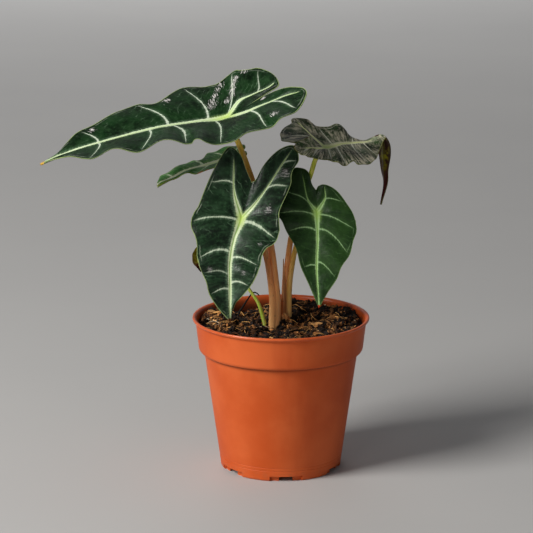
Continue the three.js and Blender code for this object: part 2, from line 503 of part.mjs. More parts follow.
function blade(leaf) {
  const spine = new Spine(leaf);
  const halves = ['plus', 'minus'].map((name) => new Half(leaf, name, spine.length));
  const midrib = stops([1, ...halves.flatMap((half) => half.travel.filter((travel) => travel < 1))],
    halves.map((half) => (travel) => half.rib(travel).edge), leaf.step);
  const junction = midrib.length - 1;
  const points = [];
  const ids = new Map();
  const vertex = (key, place) => {
    if (!ids.has(key)) ids.set(key, points.push(place()) - 1);
    return ids.get(key);
  };
  const faces = [];
  const quad = (a, b, c, d, turned) => {
    for (const [p, q, r] of [[a, b, c], [a, c, d]]) {
      if (p !== q && q !== r && r !== p) faces.push(...(turned ? [r, q, p] : [p, q, r]));
    }
  };
  for (const half of halves) {
    const roots = stops([0, 1, ...half.travel.filter((t) => t > 1).map((t) => (t < 2 ? t - 1 : 3 - t))],
      [(root) => half.rib(1 + root).edge, (root) => half.rib(3 - root).edge], leaf.step);
    const end = roots.length - 1;
    const outward = roots.slice(1).map((root) => 1 + root);
    const homeward = roots.slice(0, -1).reverse().map((root) => 3 - root);
    const rows = [...midrib, ...outward, ...homeward];
    const last = rows.length - 1;
    const rootKey = (i) => {
      const beyond = i - junction;
      const place = beyond <= end ? beyond : 2 * end - beyond;
      return place <= 0 ? `spine${i <= junction ? i : junction}` : `lobe${half.side}_${place}`;
    };
    const key = (i, j) => {
      if (i === 0) return 'tip';
      if (j === 0) return rootKey(i);
      return i === last ? `cleft${j}` : `half${half.side}_${i}_${j}`;
    };
    const [upper, lower] = [0, 1].map((under) => rows.map((travel, i) => ACROSS.map((t, j) => vertex(
      `${under}${key(i, j)}`, () => {
        const { x, y, lift, reach } = half.point(travel, i === 0 ? 0 : t);
        const depth = BLADE.thickness + BLADE.ridge * Math.exp(-((reach / BLADE.ridgeWidth) ** 2));
        return bend(leaf, spine, x, y, lift - under * depth);
      }))));
    const turned = half.side > 0;
    const rim = ACROSS.length - 1;
    for (let i = 0; i < last; i++) {
      for (let j = 0; j < rim; j++) {
        quad(upper[i][j], upper[i + 1][j], upper[i + 1][j + 1], upper[i][j + 1], turned);
        quad(lower[i][j], lower[i + 1][j], lower[i + 1][j + 1], lower[i][j + 1], !turned);
      }
      quad(upper[i][rim], upper[i + 1][rim], lower[i + 1][rim], lower[i][rim], turned);
    }
  }
  return solid(indexed(points, faces));
}

// The block that takes off a stem whatever is above the underside of its leaf at the petiole
const SEAT = 24;
function seated(body, leaf) {
  const { place, along, normal } = new Spine(leaf).at(0);
  const across = normal.clone().cross(along).normalize();
  const depth = BLADE.thickness + BLADE.ridge + GAP;
  const turn = new THREE.Matrix4().makeBasis(across, along, normal)
    .setPosition(place.addScaledVector(normal, SEAT / 2 - depth));
  return body.subtract(solid(new THREE.BoxGeometry(SEAT, SEAT, SEAT).applyMatrix4(turn)));
}

const finish = (color, roughness) => new THREE.MeshStandardMaterial({ color, roughness, metalness: 0 });
const leafGreen = finish(0x1f4a2c, 0.35);

const plant = new THREE.Group();
plant.add(piece('pot', pot(), finish(0xc0562f, 0.5)));

const groups = {
  stems_left: ['tall_left', 'front_left', 'small_back'],
  stems_right: ['upper_right', 'front_right'],
  stem_old_leaf: ['old'],
};
const stemColor = { stems_left: 0xa06a45, stems_right: 0x87703a, stem_old_leaf: 0x8fa23c };
let ground = soil().subtract(rootstock(GAP));
for (const [name, members] of Object.entries(groups)) {
  let body = members.map((member) => seated(stem(STEMS[member]), LEAVES[member])).reduce((a, b) => a.add(b));
  if (name === 'stems_right') body = body.add(stem(SHEATH_TIP));
  plant.add(piece(name, body, finish(stemColor[name], 0.6)));
  for (const member of members) ground = ground.subtract(stem(STEMS[member], GAP));
}
plant.add(piece('soil', ground, finish(0x2b1d15, 1)));
plant.add(piece('rootstock', rootstock(), finish(0x6b4a30, 0.9)));
for (const [name, leaf] of Object.entries(LEAVES)) plant.add(piece(`leaf_${name}`, blade(leaf), leafGreen));

export default plant;
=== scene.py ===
import bmesh
import bpy
import numpy as np
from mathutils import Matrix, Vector


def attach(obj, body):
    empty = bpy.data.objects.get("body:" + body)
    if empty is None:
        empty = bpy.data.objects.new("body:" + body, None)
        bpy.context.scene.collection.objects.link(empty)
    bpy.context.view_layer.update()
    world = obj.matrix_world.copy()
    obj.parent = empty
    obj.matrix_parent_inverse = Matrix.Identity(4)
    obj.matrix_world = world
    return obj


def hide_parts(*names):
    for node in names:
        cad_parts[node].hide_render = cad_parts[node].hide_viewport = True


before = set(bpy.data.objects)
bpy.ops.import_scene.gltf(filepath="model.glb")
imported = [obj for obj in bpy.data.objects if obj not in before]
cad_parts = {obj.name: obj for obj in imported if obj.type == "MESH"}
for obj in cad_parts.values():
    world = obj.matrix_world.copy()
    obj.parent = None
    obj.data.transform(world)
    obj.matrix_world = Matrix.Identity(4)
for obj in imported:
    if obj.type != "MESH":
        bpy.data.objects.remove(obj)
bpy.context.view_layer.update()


# Pot: a thin injection-moulded nursery pot of terracotta-orange plastic. Its tapering body has a wider band
# under a rolled lip, a foot ring with six drain notches, and two fine rings where the mould's foot met it.
# The wall is one profile turned about the axis, with the foot drawn in and up where a notch is.
MM = 0.001
POT_FOOT = 41
POT_OUTLINE = [
    [0, 0, 1], [18, 0, 0.4], [20.4, 3.4, 0.6], [38, 3.4, 0.3], [38.4, 0, 0.2], [40.4, 0, 0.4], [41, 0.8, 0.5],
    [41.3, 3.2, 0.05], [41.34, 3.5, 0.05], [41.75, 6.9, 0.15], [41.55, 7.1, 0.1], [41.8, 7.4, 0.15],
    [42.03, 9.1, 0.15], [41.85, 9.3, 0.1], [42.1, 9.6, 0.15], [52.15, 81.2, 1.2], [54.7, 81.4, 0.8],
    [55.7, 82.9, 0.9], [57.9, 101.8, 0.7], [59.4, 102.3, 0.6], [60, 103.2, 0.7], [59.8, 104.3, 0.7],
    [58.6, 104.5, 0.6], [57.3, 103.6, 0.6], [56.7, 101.9, 0.8], [54.6, 83.2, 0.8], [51.4, 82.2, 0.8],
    [51, 80.2, 0.8], [39.9, 5.6, 0.8], [39, 4.6, 0.4], [20.6, 4.6, 0.6], [18.5, 1.2, 0.4], [0, 1.2, 1],
]
NOTCH_COUNT = 6
NOTCH_TURN = np.radians(5)
NOTCH_WIDTH = 22
NOTCH_MOUTH = 9.5
NOTCH_TOP = 3.3
NOTCH_SEAT = 39
NOTCH_EDGE = 0.004
FOOT_RING = 38.2
TURN_STEPS = 240
# Where the finish changes, in metres: the inner wall's radius at height 0 and its growth with height, then
# each part's start and end.
INNER_WALL = (0.0454, 0.1164)
# Where the inner wall above the soil is darkened, by the soil's stain and by painted shade.
SOIL_STAIN_AND_SHADE = (0.105, 0.096)
# Painted shade: the heights and radii of the dark line painted on the wall under the band's step.
BAND_SHADE_HEIGHT = (0.0785, 0.081)
BAND_SHADE_RADIUS = (0.0542, 0.0525)
LIP_HEIGHT = (0.1024, 0.1034)


def rgb(red, green, blue):
    """A colour as it looks on a screen, 0 to 255, turned into the light values that a shader takes: each
    share of 255 is divided by 12.92 where it is dark, and else raised to the power 2.4."""
    share = np.array([red, green, blue]) / 255
    light = np.where(share <= 0.04045, share / 12.92, ((share + 0.055) / 1.055) ** 2.4)
    return (*light.tolist(), 1.0)


def add(tree, kind, inputs=None, **settings):
    """Adds a node to a tree, sets its properties, and fills each input with a value or a link."""
    made = tree.nodes.new("ShaderNode" + kind)
    for key, value in settings.items():
        setattr(made, key, value)
    for key, value in (inputs or {}).items():
        if isinstance(value, bpy.types.NodeSocket):
            tree.links.new(value, made.inputs[key])
        else:
            made.inputs[key].default_value = value
    return made


def calc(tree, operation, first, second=0.0):
    """One step of arithmetic on two values."""
    return add(tree, "Math", {0: first, 1: second}, operation=operation).outputs[0]


def fade(tree, value, start, end):
    """Rises smoothly from 0 where the value is at start to 1 where it is at end; start may be the higher."""
    low_first = start < end
    made = add(tree, "MapRange", {"Value": value, "From Min": min(start, end), "From Max": max(start, end),
                                  "To Min": 0.0 if low_first else 1.0, "To Max": 1.0 if low_first else 0.0},
               interpolation_type="SMOOTHSTEP")
    return made.outputs[0]


def blend(tree, share, first, second, way="MIX"):
    """The first colour where share is 0 and the second where it is 1."""
    return add(tree, "Mix", {0: share, 6: first, 7: second}, data_type="RGBA", blend_type=way).outputs[2]


def noise(tree, vector, scale, detail=3.0, roughness=0.55):
    """Cloudy values around 0.5, with scale lumps to each unit of the vector."""
    return add(tree, "TexNoise", {"Vector": vector, "Scale": scale, "Detail": detail,
                                  "Roughness": roughness}).outputs[0]


def stretched(tree, vector, x, y, z):
    """The vector with each of its three parts multiplied by a number."""
    return add(tree, "Mapping", {"Vector": vector, "Scale": (x, y, z)}).outputs[0]


def bump(tree, height, distance, strength=1.0):
    """The normal of a surface with a height map in metres of distance."""
    return add(tree, "Bump", {"Height": height, "Distance": distance, "Strength": strength}).outputs[0]


def new_material(name):
    """A material, its node tree, its shader and the object's own coordinates."""
    made = bpy.data.materials.new(name)
    made.use_nodes = True
    tree = made.node_tree
    place = add(tree, "TexCoord").outputs["Object"]
    return made, tree, tree.nodes["Principled BSDF"], place


def rounded(corners, steps=5):
    """The outline through corners x, y, radius. Each corner is a quadratic arc that starts and ends its
    radius away along the two sides, or half a side away where that is less."""
    corners = np.array(corners, float)
    place, radius = corners[:, :2], corners[1:-1, 2]
    side = np.diff(place, axis=0)
    length = np.hypot(side[:, 0], side[:, 1])
    start = place[1:-1] - side[:-1] * (np.minimum(radius, length[:-1] / 2) / length[:-1])[:, None]
    end = place[1:-1] + side[1:] * (np.minimum(radius, length[1:] / 2) / length[1:])[:, None]
    t = np.linspace(0, 1, steps)[:, None]
    arcs = (1 - t) ** 2 * start[:, None] + 2 * t * (1 - t) * place[1:-1, None] + t ** 2 * end[:, None]
    return np.concatenate([place[:1], arcs.reshape(-1, 2), place[-1:]])


def grid_faces(rows, columns, wrap=False):
    """Quads between the neighbours of a grid stored row by row; wrap joins the last column to the first."""
    index = np.arange(rows * columns).reshape(rows, columns)
    if wrap:
        index = np.concatenate([index, index[:, :1]], axis=1)
    return np.stack([index[:-1, :-1], index[:-1, 1:], index[1:, 1:], index[1:, :-1]], axis=-1).reshape(-1, 4)


def piece(name, points, faces, material, slot, sharp=40, tidy=True, **attributes):
    """A mesh object that rides on the plant, from points in millimetres and faces by index. Each attribute is
    a value or a colour for every point. tidy merges points that coincide and turns all faces outwards."""
    mesh = bpy.data.meshes.new(name)
    mesh.from_pydata((np.asarray(points).reshape(-1, 3) * MM).tolist(), [], np.asarray(faces).tolist())
    for key, values in attributes.items():
        values = np.asarray(values, np.float32)
        if values.shape[-1] == 4:
            mesh.attributes.new(key, "FLOAT_COLOR", "POINT").data.foreach_set("color", values.ravel())
        else:
            mesh.attributes.new(key, "FLOAT", "POINT").data.foreach_set("value", values.ravel())
    if tidy:
        shape = bmesh.new()
        shape.from_mesh(mesh)
        bmesh.ops.remove_doubles(shape, verts=shape.verts, dist=0.004 * MM)
        bmesh.ops.recalc_face_normals(shape, faces=shape.faces)
        shape.to_mesh(mesh)
        shape.free()
    mesh.shade_smooth()
    mesh.set_sharp_from_angle(angle=np.radians(sharp))
    mesh.materials.append(material)
    made = bpy.data.objects.new(name, mesh)
    bpy.context.scene.collection.objects.link(made)
    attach(made, "root")
    return made


def notch_angles():
    """Angles round the pot: one every 1.5 degrees, and two close together at each edge of each notch."""
    turns = NOTCH_TURN - np.pi / 2 + np.arange(NOTCH_COUNT) * 2 * np.pi / NOTCH_COUNT
    edges = np.array([NOTCH_WIDTH, NOTCH_MOUTH]) / 2 / POT_FOOT
    edges = np.concatenate([edges, -edges])
    pairs = np.concatenate([edges - NOTCH_EDGE, edges + NOTCH_EDGE])
    close = (turns[:, None] + pairs).ravel() % (2 * np.pi)
    return np.unique(np.concatenate([np.arange(TURN_STEPS) * 2 * np.pi / TURN_STEPS, close])), turns


def pot_points():
    """The outline turned about the axis. Under a notch's top, its width pulls the outer face in to the seat,
    and its mouth lifts the whole foot ring."""
    outline = rounded(POT_OUTLINE)
    angles, turns = notch_angles()
    away = np.abs((angles[:, None] - turns + np.pi) % (2 * np.pi) - np.pi).min(axis=1) * POT_FOOT
    radius, height = (np.repeat(outline[:, k:k + 1], len(angles), axis=1) for k in (0, 1))
    foot = (radius > FOOT_RING) & (height < NOTCH_TOP + 0.02)
    radius = np.where(foot & (away < NOTCH_WIDTH / 2), np.minimum(radius, NOTCH_SEAT), radius)
    height = np.where(foot & (away < NOTCH_MOUTH / 2), NOTCH_TOP, height)
    return np.stack([radius * np.cos(angles), radius * np.sin(angles), height], axis=-1)


pot_plastic, tree, shader, place = new_material("orange_plastic")
cloud = noise(tree, place, 22, 4)
grain = noise(tree, place, 420, 2)
flow = noise(tree, stretched(tree, place, 60, 60, 6), 1, 3)
height = add(tree, "SeparateXYZ", {"Vector": place}).outputs["Z"]
orange = blend(tree, fade(tree, cloud, 0.35, 0.68), rgb(192, 80, 29), rgb(206, 96, 46))
orange = blend(tree, calc(tree, "MULTIPLY", fade(tree, flow, 0.5, 0.75), 0.22), orange, rgb(170, 56, 16))
dusty = fade(tree, noise(tree, place, 260), 0.42, 0.7)
foot_dust = calc(tree, "MULTIPLY", fade(tree, height, 0.012, 0.0), dusty)
orange = blend(tree, calc(tree, "MULTIPLY", foot_dust, 0.3), orange, rgb(150, 92, 64))
flat = add(tree, "VectorMath", {0: place, 1: (1, 1, 0)}, operation="MULTIPLY").outputs[0]
radius = add(tree, "VectorMath", {0: flat}, operation="LENGTH").outputs["Value"]
wall = calc(tree, "ADD", calc(tree, "MULTIPLY", height, INNER_WALL[1]), INNER_WALL[0])
inside = calc(tree, "MULTIPLY", fade(tree, calc(tree, "SUBTRACT", radius, wall), 0.0002, -0.0002),
              fade(tree, height, 0.084, 0.09))
splash = fade(tree, noise(tree, place, 330, 5), 0.5, 0.6)
# Soil stain and painted shade: the inner wall above the soil turns near-black brown in splashes and clouds,
# partly the soil's stain and partly the shade inside the pot.
stain_and_shade = calc(tree, "MULTIPLY", inside, fade(tree, height, *SOIL_STAIN_AND_SHADE))
soiled_and_shaded = calc(tree, "MAXIMUM", splash, calc(tree, "MULTIPLY", fade(tree, cloud, 0.42, 0.55), 0.85))
orange = blend(tree, calc(tree, "MULTIPLY", stain_and_shade, soiled_and_shaded), orange, rgb(40, 20, 10))
# Painted shade: a dark line painted on the wall just under the band's step, where the band shades it.
painted_band_shade = calc(tree, "MULTIPLY", fade(tree, height, *BAND_SHADE_HEIGHT), fade(tree, radius, *BAND_SHADE_RADIUS))
orange = blend(tree, calc(tree, "MULTIPLY", painted_band_shade, 0.6), orange, rgb(84, 32, 12))
tree.links.new(orange, shader.inputs["Base Color"])
rough = add(tree, "MapRange", {"Value": cloud, "To Min": 0.42, "To Max": 0.6}).outputs[0]
lip = fade(tree, height, *LIP_HEIGHT)
rough = calc(tree, "SUBTRACT", rough, calc(tree, "MULTIPLY", lip, 0.22))
tree.links.new(rough, shader.inputs["Roughness"])
tree.links.new(calc(tree, "MULTIPLY", lip, 0.6), shader.inputs["Coat Weight"])
shader.inputs["Coat Roughness"].default_value = 0.3
shader.inputs["Specular IOR Level"].default_value = 0.22
tree.links.new(bump(tree, calc(tree, "ADD", grain, calc(tree, "MULTIPLY", cloud, 3.0)), 0.00006),
               shader.inputs["Normal"])

points = pot_points()
pot = piece("nursery_pot", points, grid_faces(*points.shape[:2], wrap=True), pot_plastic, "pot_plastic",
            sharp=32)
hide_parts("pot")


# Soil: moist, nearly black potting mix, heaped at the stems and against the pot's back wall. Crumbs, bark
# chips and coir fibres lie on it. The ground is one turned surface with a relief of layered noise, and what
# lies on it is three small shapes, each copied, turned and sized from one seeded draw.
SOIL_LEVEL = 94
SOIL_RADIUS = 55.6
SOIL_EDGE_DROP = 1.5
HEAPS = [[1, 14, 4, 12], [9, 46, 10, 12], [45, 22, 9, 15], [-46, 12, 8, 13], [-4, -1, 2.2, 7],
         [-12, -5, -3, 4]]
LUMPS = [[1.1, 0.31, 0.12, 1.0], [1.0, -0.16, 0.37, 0.4], [0.7, 0.55, 0.48, 2.1], [0.6, 0.66, -0.58, 0.9]]
SOIL_SIDE = [
    [53.9, 84.2], [50.9, 82.8], [50.6, 80.4], [39.4, 6.2], [38.6, 5.1], [20.3, 5.1], [18, 1.6], [0, 1.6],
]
SOIL_SIDES = 420
SOIL_RINGS = 130
WALL_GAP = 1.6
CRUMBS = {"seed": 4, "count": 3200, "low": 0.35, "high": 1.9}
CHIPS = {"seed": 7, "count": 260, "low": 0.4, "high": 1.5}
FIBRES = {"seed": 11, "count": 420, "low": 0.3, "high": 1.2}
LIGHT_PATCHES = [[-43, -3, 5], [-42, 8, 5], [-27, -7, 3], [12, 2, 7], [28, 11, 9], [2, 24, 5], [-8, 30, 5]]


def value_noise(x, y, size, seed):
    """Smooth random hills from -1 to 1: a grid of seeded numbers, size apart, blended with an S-curve."""
    table = np.random.default_rng(seed).uniform(-1, 1, (128, 128))
    u, v = x / size + 64, y / size + 64
    i, j = np.floor(u).astype(int), np.floor(v).astype(int)
    a, b = u - i, v - j
    a, b = a * a * (3 - 2 * a), b * b * (3 - 2 * b)
    low = table[i % 128, j % 128] * (1 - a) + table[(i + 1) % 128, j % 128] * a
    high = table[i % 128, (j + 1) % 128] * (1 - a) + table[(i + 1) % 128, (j + 1) % 128] * a
    return low * (1 - b) + high * b


def ground_height(x, y, fine=1.0):
    """The soil's height: a bell for each heap, a fall to the wall, four sine lumps and layered noise, whose
    ridged part folds the noise at 0 into sharp clods."""
    edge = np.minimum(1, np.hypot(x, y) / SOIL_RADIUS)
    heaps = sum(height * np.exp(-((x - hx) ** 2 + (y - hy) ** 2) / (2 * spread ** 2))
                for hx, hy, height, spread in HEAPS)
    lumps = sum(size * np.sin(kx * x + ky * y + turn) for size, kx, ky, turn in LUMPS)
    clods = 1.3 * value_noise(x, y, 7, 1) + 2.6 * (0.5 - np.abs(value_noise(x, y, 4.1, 2)))
    grit = 1.7 * (0.5 - np.abs(value_noise(x, y, 1.7, 3))) + 0.6 * value_noise(x, y, 0.8, 6)
    return (SOIL_LEVEL + heaps - SOIL_EDGE_DROP * edge ** 4 + lumps * (1 - 0.6 * edge ** 6)
            + fine * (clods + grit))


def ball(rings, sides):
    """Points and triangles of a rough round lump: rings of sides points between two poles."""
    tilt = np.linspace(0, np.pi, rings + 2)[1:-1]
    turn = np.arange(sides) * 2 * np.pi / sides
    band = np.stack([np.outer(np.sin(tilt), np.cos(turn)), np.outer(np.sin(tilt), np.sin(turn)),
                     np.outer(np.cos(tilt), np.ones(sides))], axis=-1).reshape(-1, 3)
    quads = grid_faces(rings, sides, wrap=True)[:, ::-1]
    here, there = np.arange(sides), (np.arange(sides) + 1) % sides
    top = np.stack([here, there, np.full(sides, len(band))], axis=1)
    foot = (rings - 1) * sides
    under = np.stack([foot + there, foot + here, np.full(sides, len(band) + 1)], axis=1)
    triangles = np.concatenate([quads[:, [0, 1, 2]], quads[:, [0, 2, 3]]])
    return np.concatenate([band, [[0, 0, 1], [0, 0, -1]]]), np.concatenate([triangles, top, under])


def turned(points, yaw, pitch):
    """Points turned by pitch about X and then by yaw about Z, one pair of angles for each copy."""
    x, y, z = np.moveaxis(points, -1, 0)
    c, s = np.cos(pitch)[:, None], np.sin(pitch)[:, None]
    y, z = y * c - z * s, y * s + z * c
    c, s = np.cos(yaw)[:, None], np.sin(yaw)[:, None]
    return np.stack([x * c - y * s, x * s + y * c, z], axis=-1)


def strewn(draw, shape, faces, size, sink, tilt, patched):
    """Copies of a shape over the ground: random places in the pot, turns and sizes, each set on the relief. A
    share of them, patched, lies in the light patches instead, and none reaches into the wall. Gives the
    points, the faces, and a random shade for every point of a copy."""
    count = len(shape)
    reach = (SOIL_RADIUS - WALL_GAP) * np.sqrt(draw.uniform(0, 1, count))
    angle = draw.uniform(0, 2 * np.pi, count)
    x, y = reach * np.cos(angle), reach * np.sin(angle)
    patch = np.array(LIGHT_PATCHES)[draw.integers(0, len(LIGHT_PATCHES), count)]
    inside = draw.uniform(0, 1, count) < patched
    x = np.where(inside, patch[:, 0] + draw.normal(0, 1, count) * patch[:, 2], x)
    y = np.where(inside, patch[:, 1] + draw.normal(0, 1, count) * patch[:, 2], y)
    inward = np.minimum(1, (SOIL_RADIUS - WALL_GAP) / np.maximum(np.hypot(x, y), 1))
    x, y = x * inward, y * inward
    body = turned(shape * size[:, None, None], draw.uniform(0, 2 * np.pi, count), draw.normal(0, tilt, count))
    body = body + np.stack([x, y, ground_height(x, y) + sink * size], axis=-1)[:, None]
    away = np.hypot(body[..., 0], body[..., 1])
    body[..., :2] *= np.minimum(1, SOIL_RADIUS / np.maximum(away, 1))[..., None]
    shade = np.repeat(np.maximum(draw.uniform(0, 1, count), 0.6 * inside), shape.shape[1])
    start = np.arange(count)[:, None, None] * shape.shape[1]
    return body.reshape(-1, 3), (faces + start).reshape(-1, faces.shape[1]), shade


def new_group(name, inputs, outputs):
    """A node group with named inputs and outputs, each with its kind of socket: the group, what comes in, and
    what goes out."""
    group = bpy.data.node_groups.new(name, "ShaderNodeTree")
    for way, sockets in (("INPUT", inputs), ("OUTPUT", outputs)):
        for key, kind in sockets.items():
            group.interface.new_socket(key, in_out=way, socket_type="NodeSocket" + kind)
    return group, group.nodes.new("NodeGroupInput").outputs, group.nodes.new("NodeGroupOutput").inputs


def earth_mix():
    """Node group: two browns mixed by a shade that rises smoothly between two values, with a fine grain, dark
    clouds, and pale specks on the few copies whose shade is nearly 1."""
    group, given, out = new_group(
        "earth_mix",
        {"Place": "Vector", "Shade": "Float", "Dark": "Color", "Light": "Color", "From": "Float",
         "To": "Float"},
        {"Colour": "Color", "Grain": "Float"})
    grain = noise(group, given["Place"], 900, 4)
    share = add(group, "MapRange", {"Value": given["Shade"], "From Min": given["From"],
                                    "From Max": given["To"]}, interpolation_type="SMOOTHSTEP").outputs[0]
    share = calc(group, "MULTIPLY", share, calc(group, "ADD", 0.5, grain))
    colour = blend(group, share, given["Dark"], given["Light"])
    cloud = fade(group, noise(group, given["Place"], 240, 3), 0.45, 0.75)
    colour = blend(group, cloud, colour, given["Dark"])
    colour = blend(group, fade(group, given["Shade"], 0.978, 0.986), colour, rgb(206, 188, 160))
    group.links.new(colour, out["Colour"])
    group.links.new(grain, out["Grain"])
    return group


EARTH_MIX = earth_mix()


def soil_material(name, dark, light, gap, roughness):
    """Earth in its own two browns, with each copy's shade where it has one."""
    made, tree, shader, place = new_material(name)
    shade = add(tree, "Attribute", attribute_name="shade").outputs["Fac"]
    earth = add(tree, "Group", {"Place": place, "Shade": shade, "Dark": dark, "Light": light,
                                "From": gap[0], "To": gap[1]}, node_tree=EARTH_MIX).outputs
    tree.links.new(earth["Colour"], shader.inputs["Base Color"])
    shader.inputs["Roughness"].default_value = roughness
    shader.inputs["Specular IOR Level"].default_value = 0.3
    tree.links.new(bump(tree, earth["Grain"], 0.0004), shader.inputs["Normal"])
    return made


ground_earth = soil_material("ground_earth", rgb(17, 11, 7), rgb(130, 82, 44), (0.3, 0.9), 0.9)
crumb_earth = soil_material("crumb_earth", rgb(26, 16, 10), rgb(218, 146, 80), (0.54, 0.97), 0.85)
chip_bark = soil_material("chip_bark", rgb(60, 34, 18), rgb(240, 178, 108), (0.35, 1.0), 0.8)
fibre_coir = soil_material("fibre_coir", rgb(104, 58, 26), rgb(244, 184, 108), (0.1, 1.0), 0.75)

angles = np.arange(SOIL_SIDES) * 2 * np.pi / SOIL_SIDES
rings = SOIL_RADIUS * (np.linspace(0, 1, SOIL_RINGS) ** 0.85)[:, None]
x, y = rings * np.cos(angles), rings * np.sin(angles)
top = np.stack([x, y, ground_height(x, y)], axis=-1)
side = np.array(SOIL_SIDE)[:, None]
wall = np.stack([side[..., 0] * np.cos(angles), side[..., 0] * np.sin(angles),
                 side[..., 1] * np.ones(SOIL_SIDES)], axis=-1)
points = np.concatenate([top, wall])
# Painted shade and light: the ground's tone rises with its relief, so the hollows between clods are painted
# darker and the ridges lighter, over a random tone.
relief = points[..., 2] - ground_height(points[..., 0], points[..., 1], fine=0)
shade = np.clip(0.1 + 0.22 * relief + 0.4 * value_noise(points[..., 0], points[..., 1], 5, 5), 0, 1)
ground = piece("soil_ground", points, grid_faces(*points.shape[:2], wrap=True), ground_earth, "soil",
               sharp=180, shade=shade.reshape(-1))
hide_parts("soil")

draw = np.random.default_rng(CRUMBS["seed"])
shape, faces = ball(4, 7)
stretch = draw.uniform(0.6, 1.5, (CRUMBS["count"], 1, 3))
lump = shape * (1 + draw.uniform(-0.5, 0.4, (CRUMBS["count"], len(shape), 1))) * stretch
size = CRUMBS["low"] + (CRUMBS["high"] - CRUMBS["low"]) * draw.uniform(0, 1, CRUMBS["count"]) ** 3
points, faces, shade = strewn(draw, lump, faces, size, 0.3, 1.0, 0.08)
shade = np.minimum(shade, np.repeat(1.25 - 0.4 * size, len(shape)))
piece("soil_crumbs", points, faces, crumb_earth, "soil", sharp=15, tidy=False, shade=shade)

draw = np.random.default_rng(CHIPS["seed"])
shape, faces = ball(3, 8)
stretch = np.stack([draw.uniform(1.2, 3.2, CHIPS["count"]), np.ones(CHIPS["count"]),
                    draw.uniform(0.2, 0.4, CHIPS["count"])], axis=-1)
flake = shape * (1 + draw.uniform(-0.25, 0.25, (CHIPS["count"], len(shape), 1))) * stretch[:, None]
size = draw.uniform(CHIPS["low"], CHIPS["high"], CHIPS["count"])
points, faces, shade = strewn(draw, flake, faces, size, 0.4, 0.45, 0.35)
piece("soil_chips", points, faces, chip_bark, "soil", sharp=20, tidy=False, shade=shade)

draw = np.random.default_rng(FIBRES["seed"])
shape, faces = ball(9, 5)
lie = np.arccos(np.clip(shape[:, 2], -1, 1)) / np.pi - 0.5
thin = np.stack([lie * 13, 0.26 * shape[:, 0], 0.26 * shape[:, 1]], axis=-1)
bend_by = draw.uniform(-2.6, 2.6, (FIBRES["count"], 1))
hump = draw.uniform(0.2, 2.4, (FIBRES["count"], 1))
wave = draw.uniform(0, 2 * np.pi, (FIBRES["count"], 1))
strand = np.repeat(thin[None], FIBRES["count"], axis=0)
strand[..., 1] += bend_by * lie ** 2 * 4 + 0.5 * np.sin(7 * lie + wave)
strand[..., 2] += hump * np.cos(np.pi * lie) + 0.3
size = draw.uniform(FIBRES["low"], FIBRES["high"], FIBRES["count"])
points, faces, shade = strewn(draw, strand, faces, size, 0.2, 0.4, 0.18)
piece("soil_fibres", points, faces, fibre_coir, "soil", sharp=180, tidy=False, shade=shade)


# Rootstock: the rough brown corm that every petiole grows from. It sits in a pocket of the soil, where only a
# cut through the pot would show it, so the frame's own body is given its bark.
corm_bark, tree, shader, place = new_material("corm_bark")
bands = noise(tree, stretched(tree, place, 40, 40, 320), 1, 4)
colour = blend(tree, fade(tree, bands, 0.35, 0.65), rgb(74, 50, 33), rgb(134, 96, 62))
tree.links.new(colour, shader.inputs["Base Color"])
tree.links.new(bump(tree, bands, 0.0008), shader.inputs["Normal"])
shader.inputs["Roughness"].default_value = 0.9
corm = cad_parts["rootstock"]
corm.data.materials.clear()
corm.data.materials.append(corm_bark)


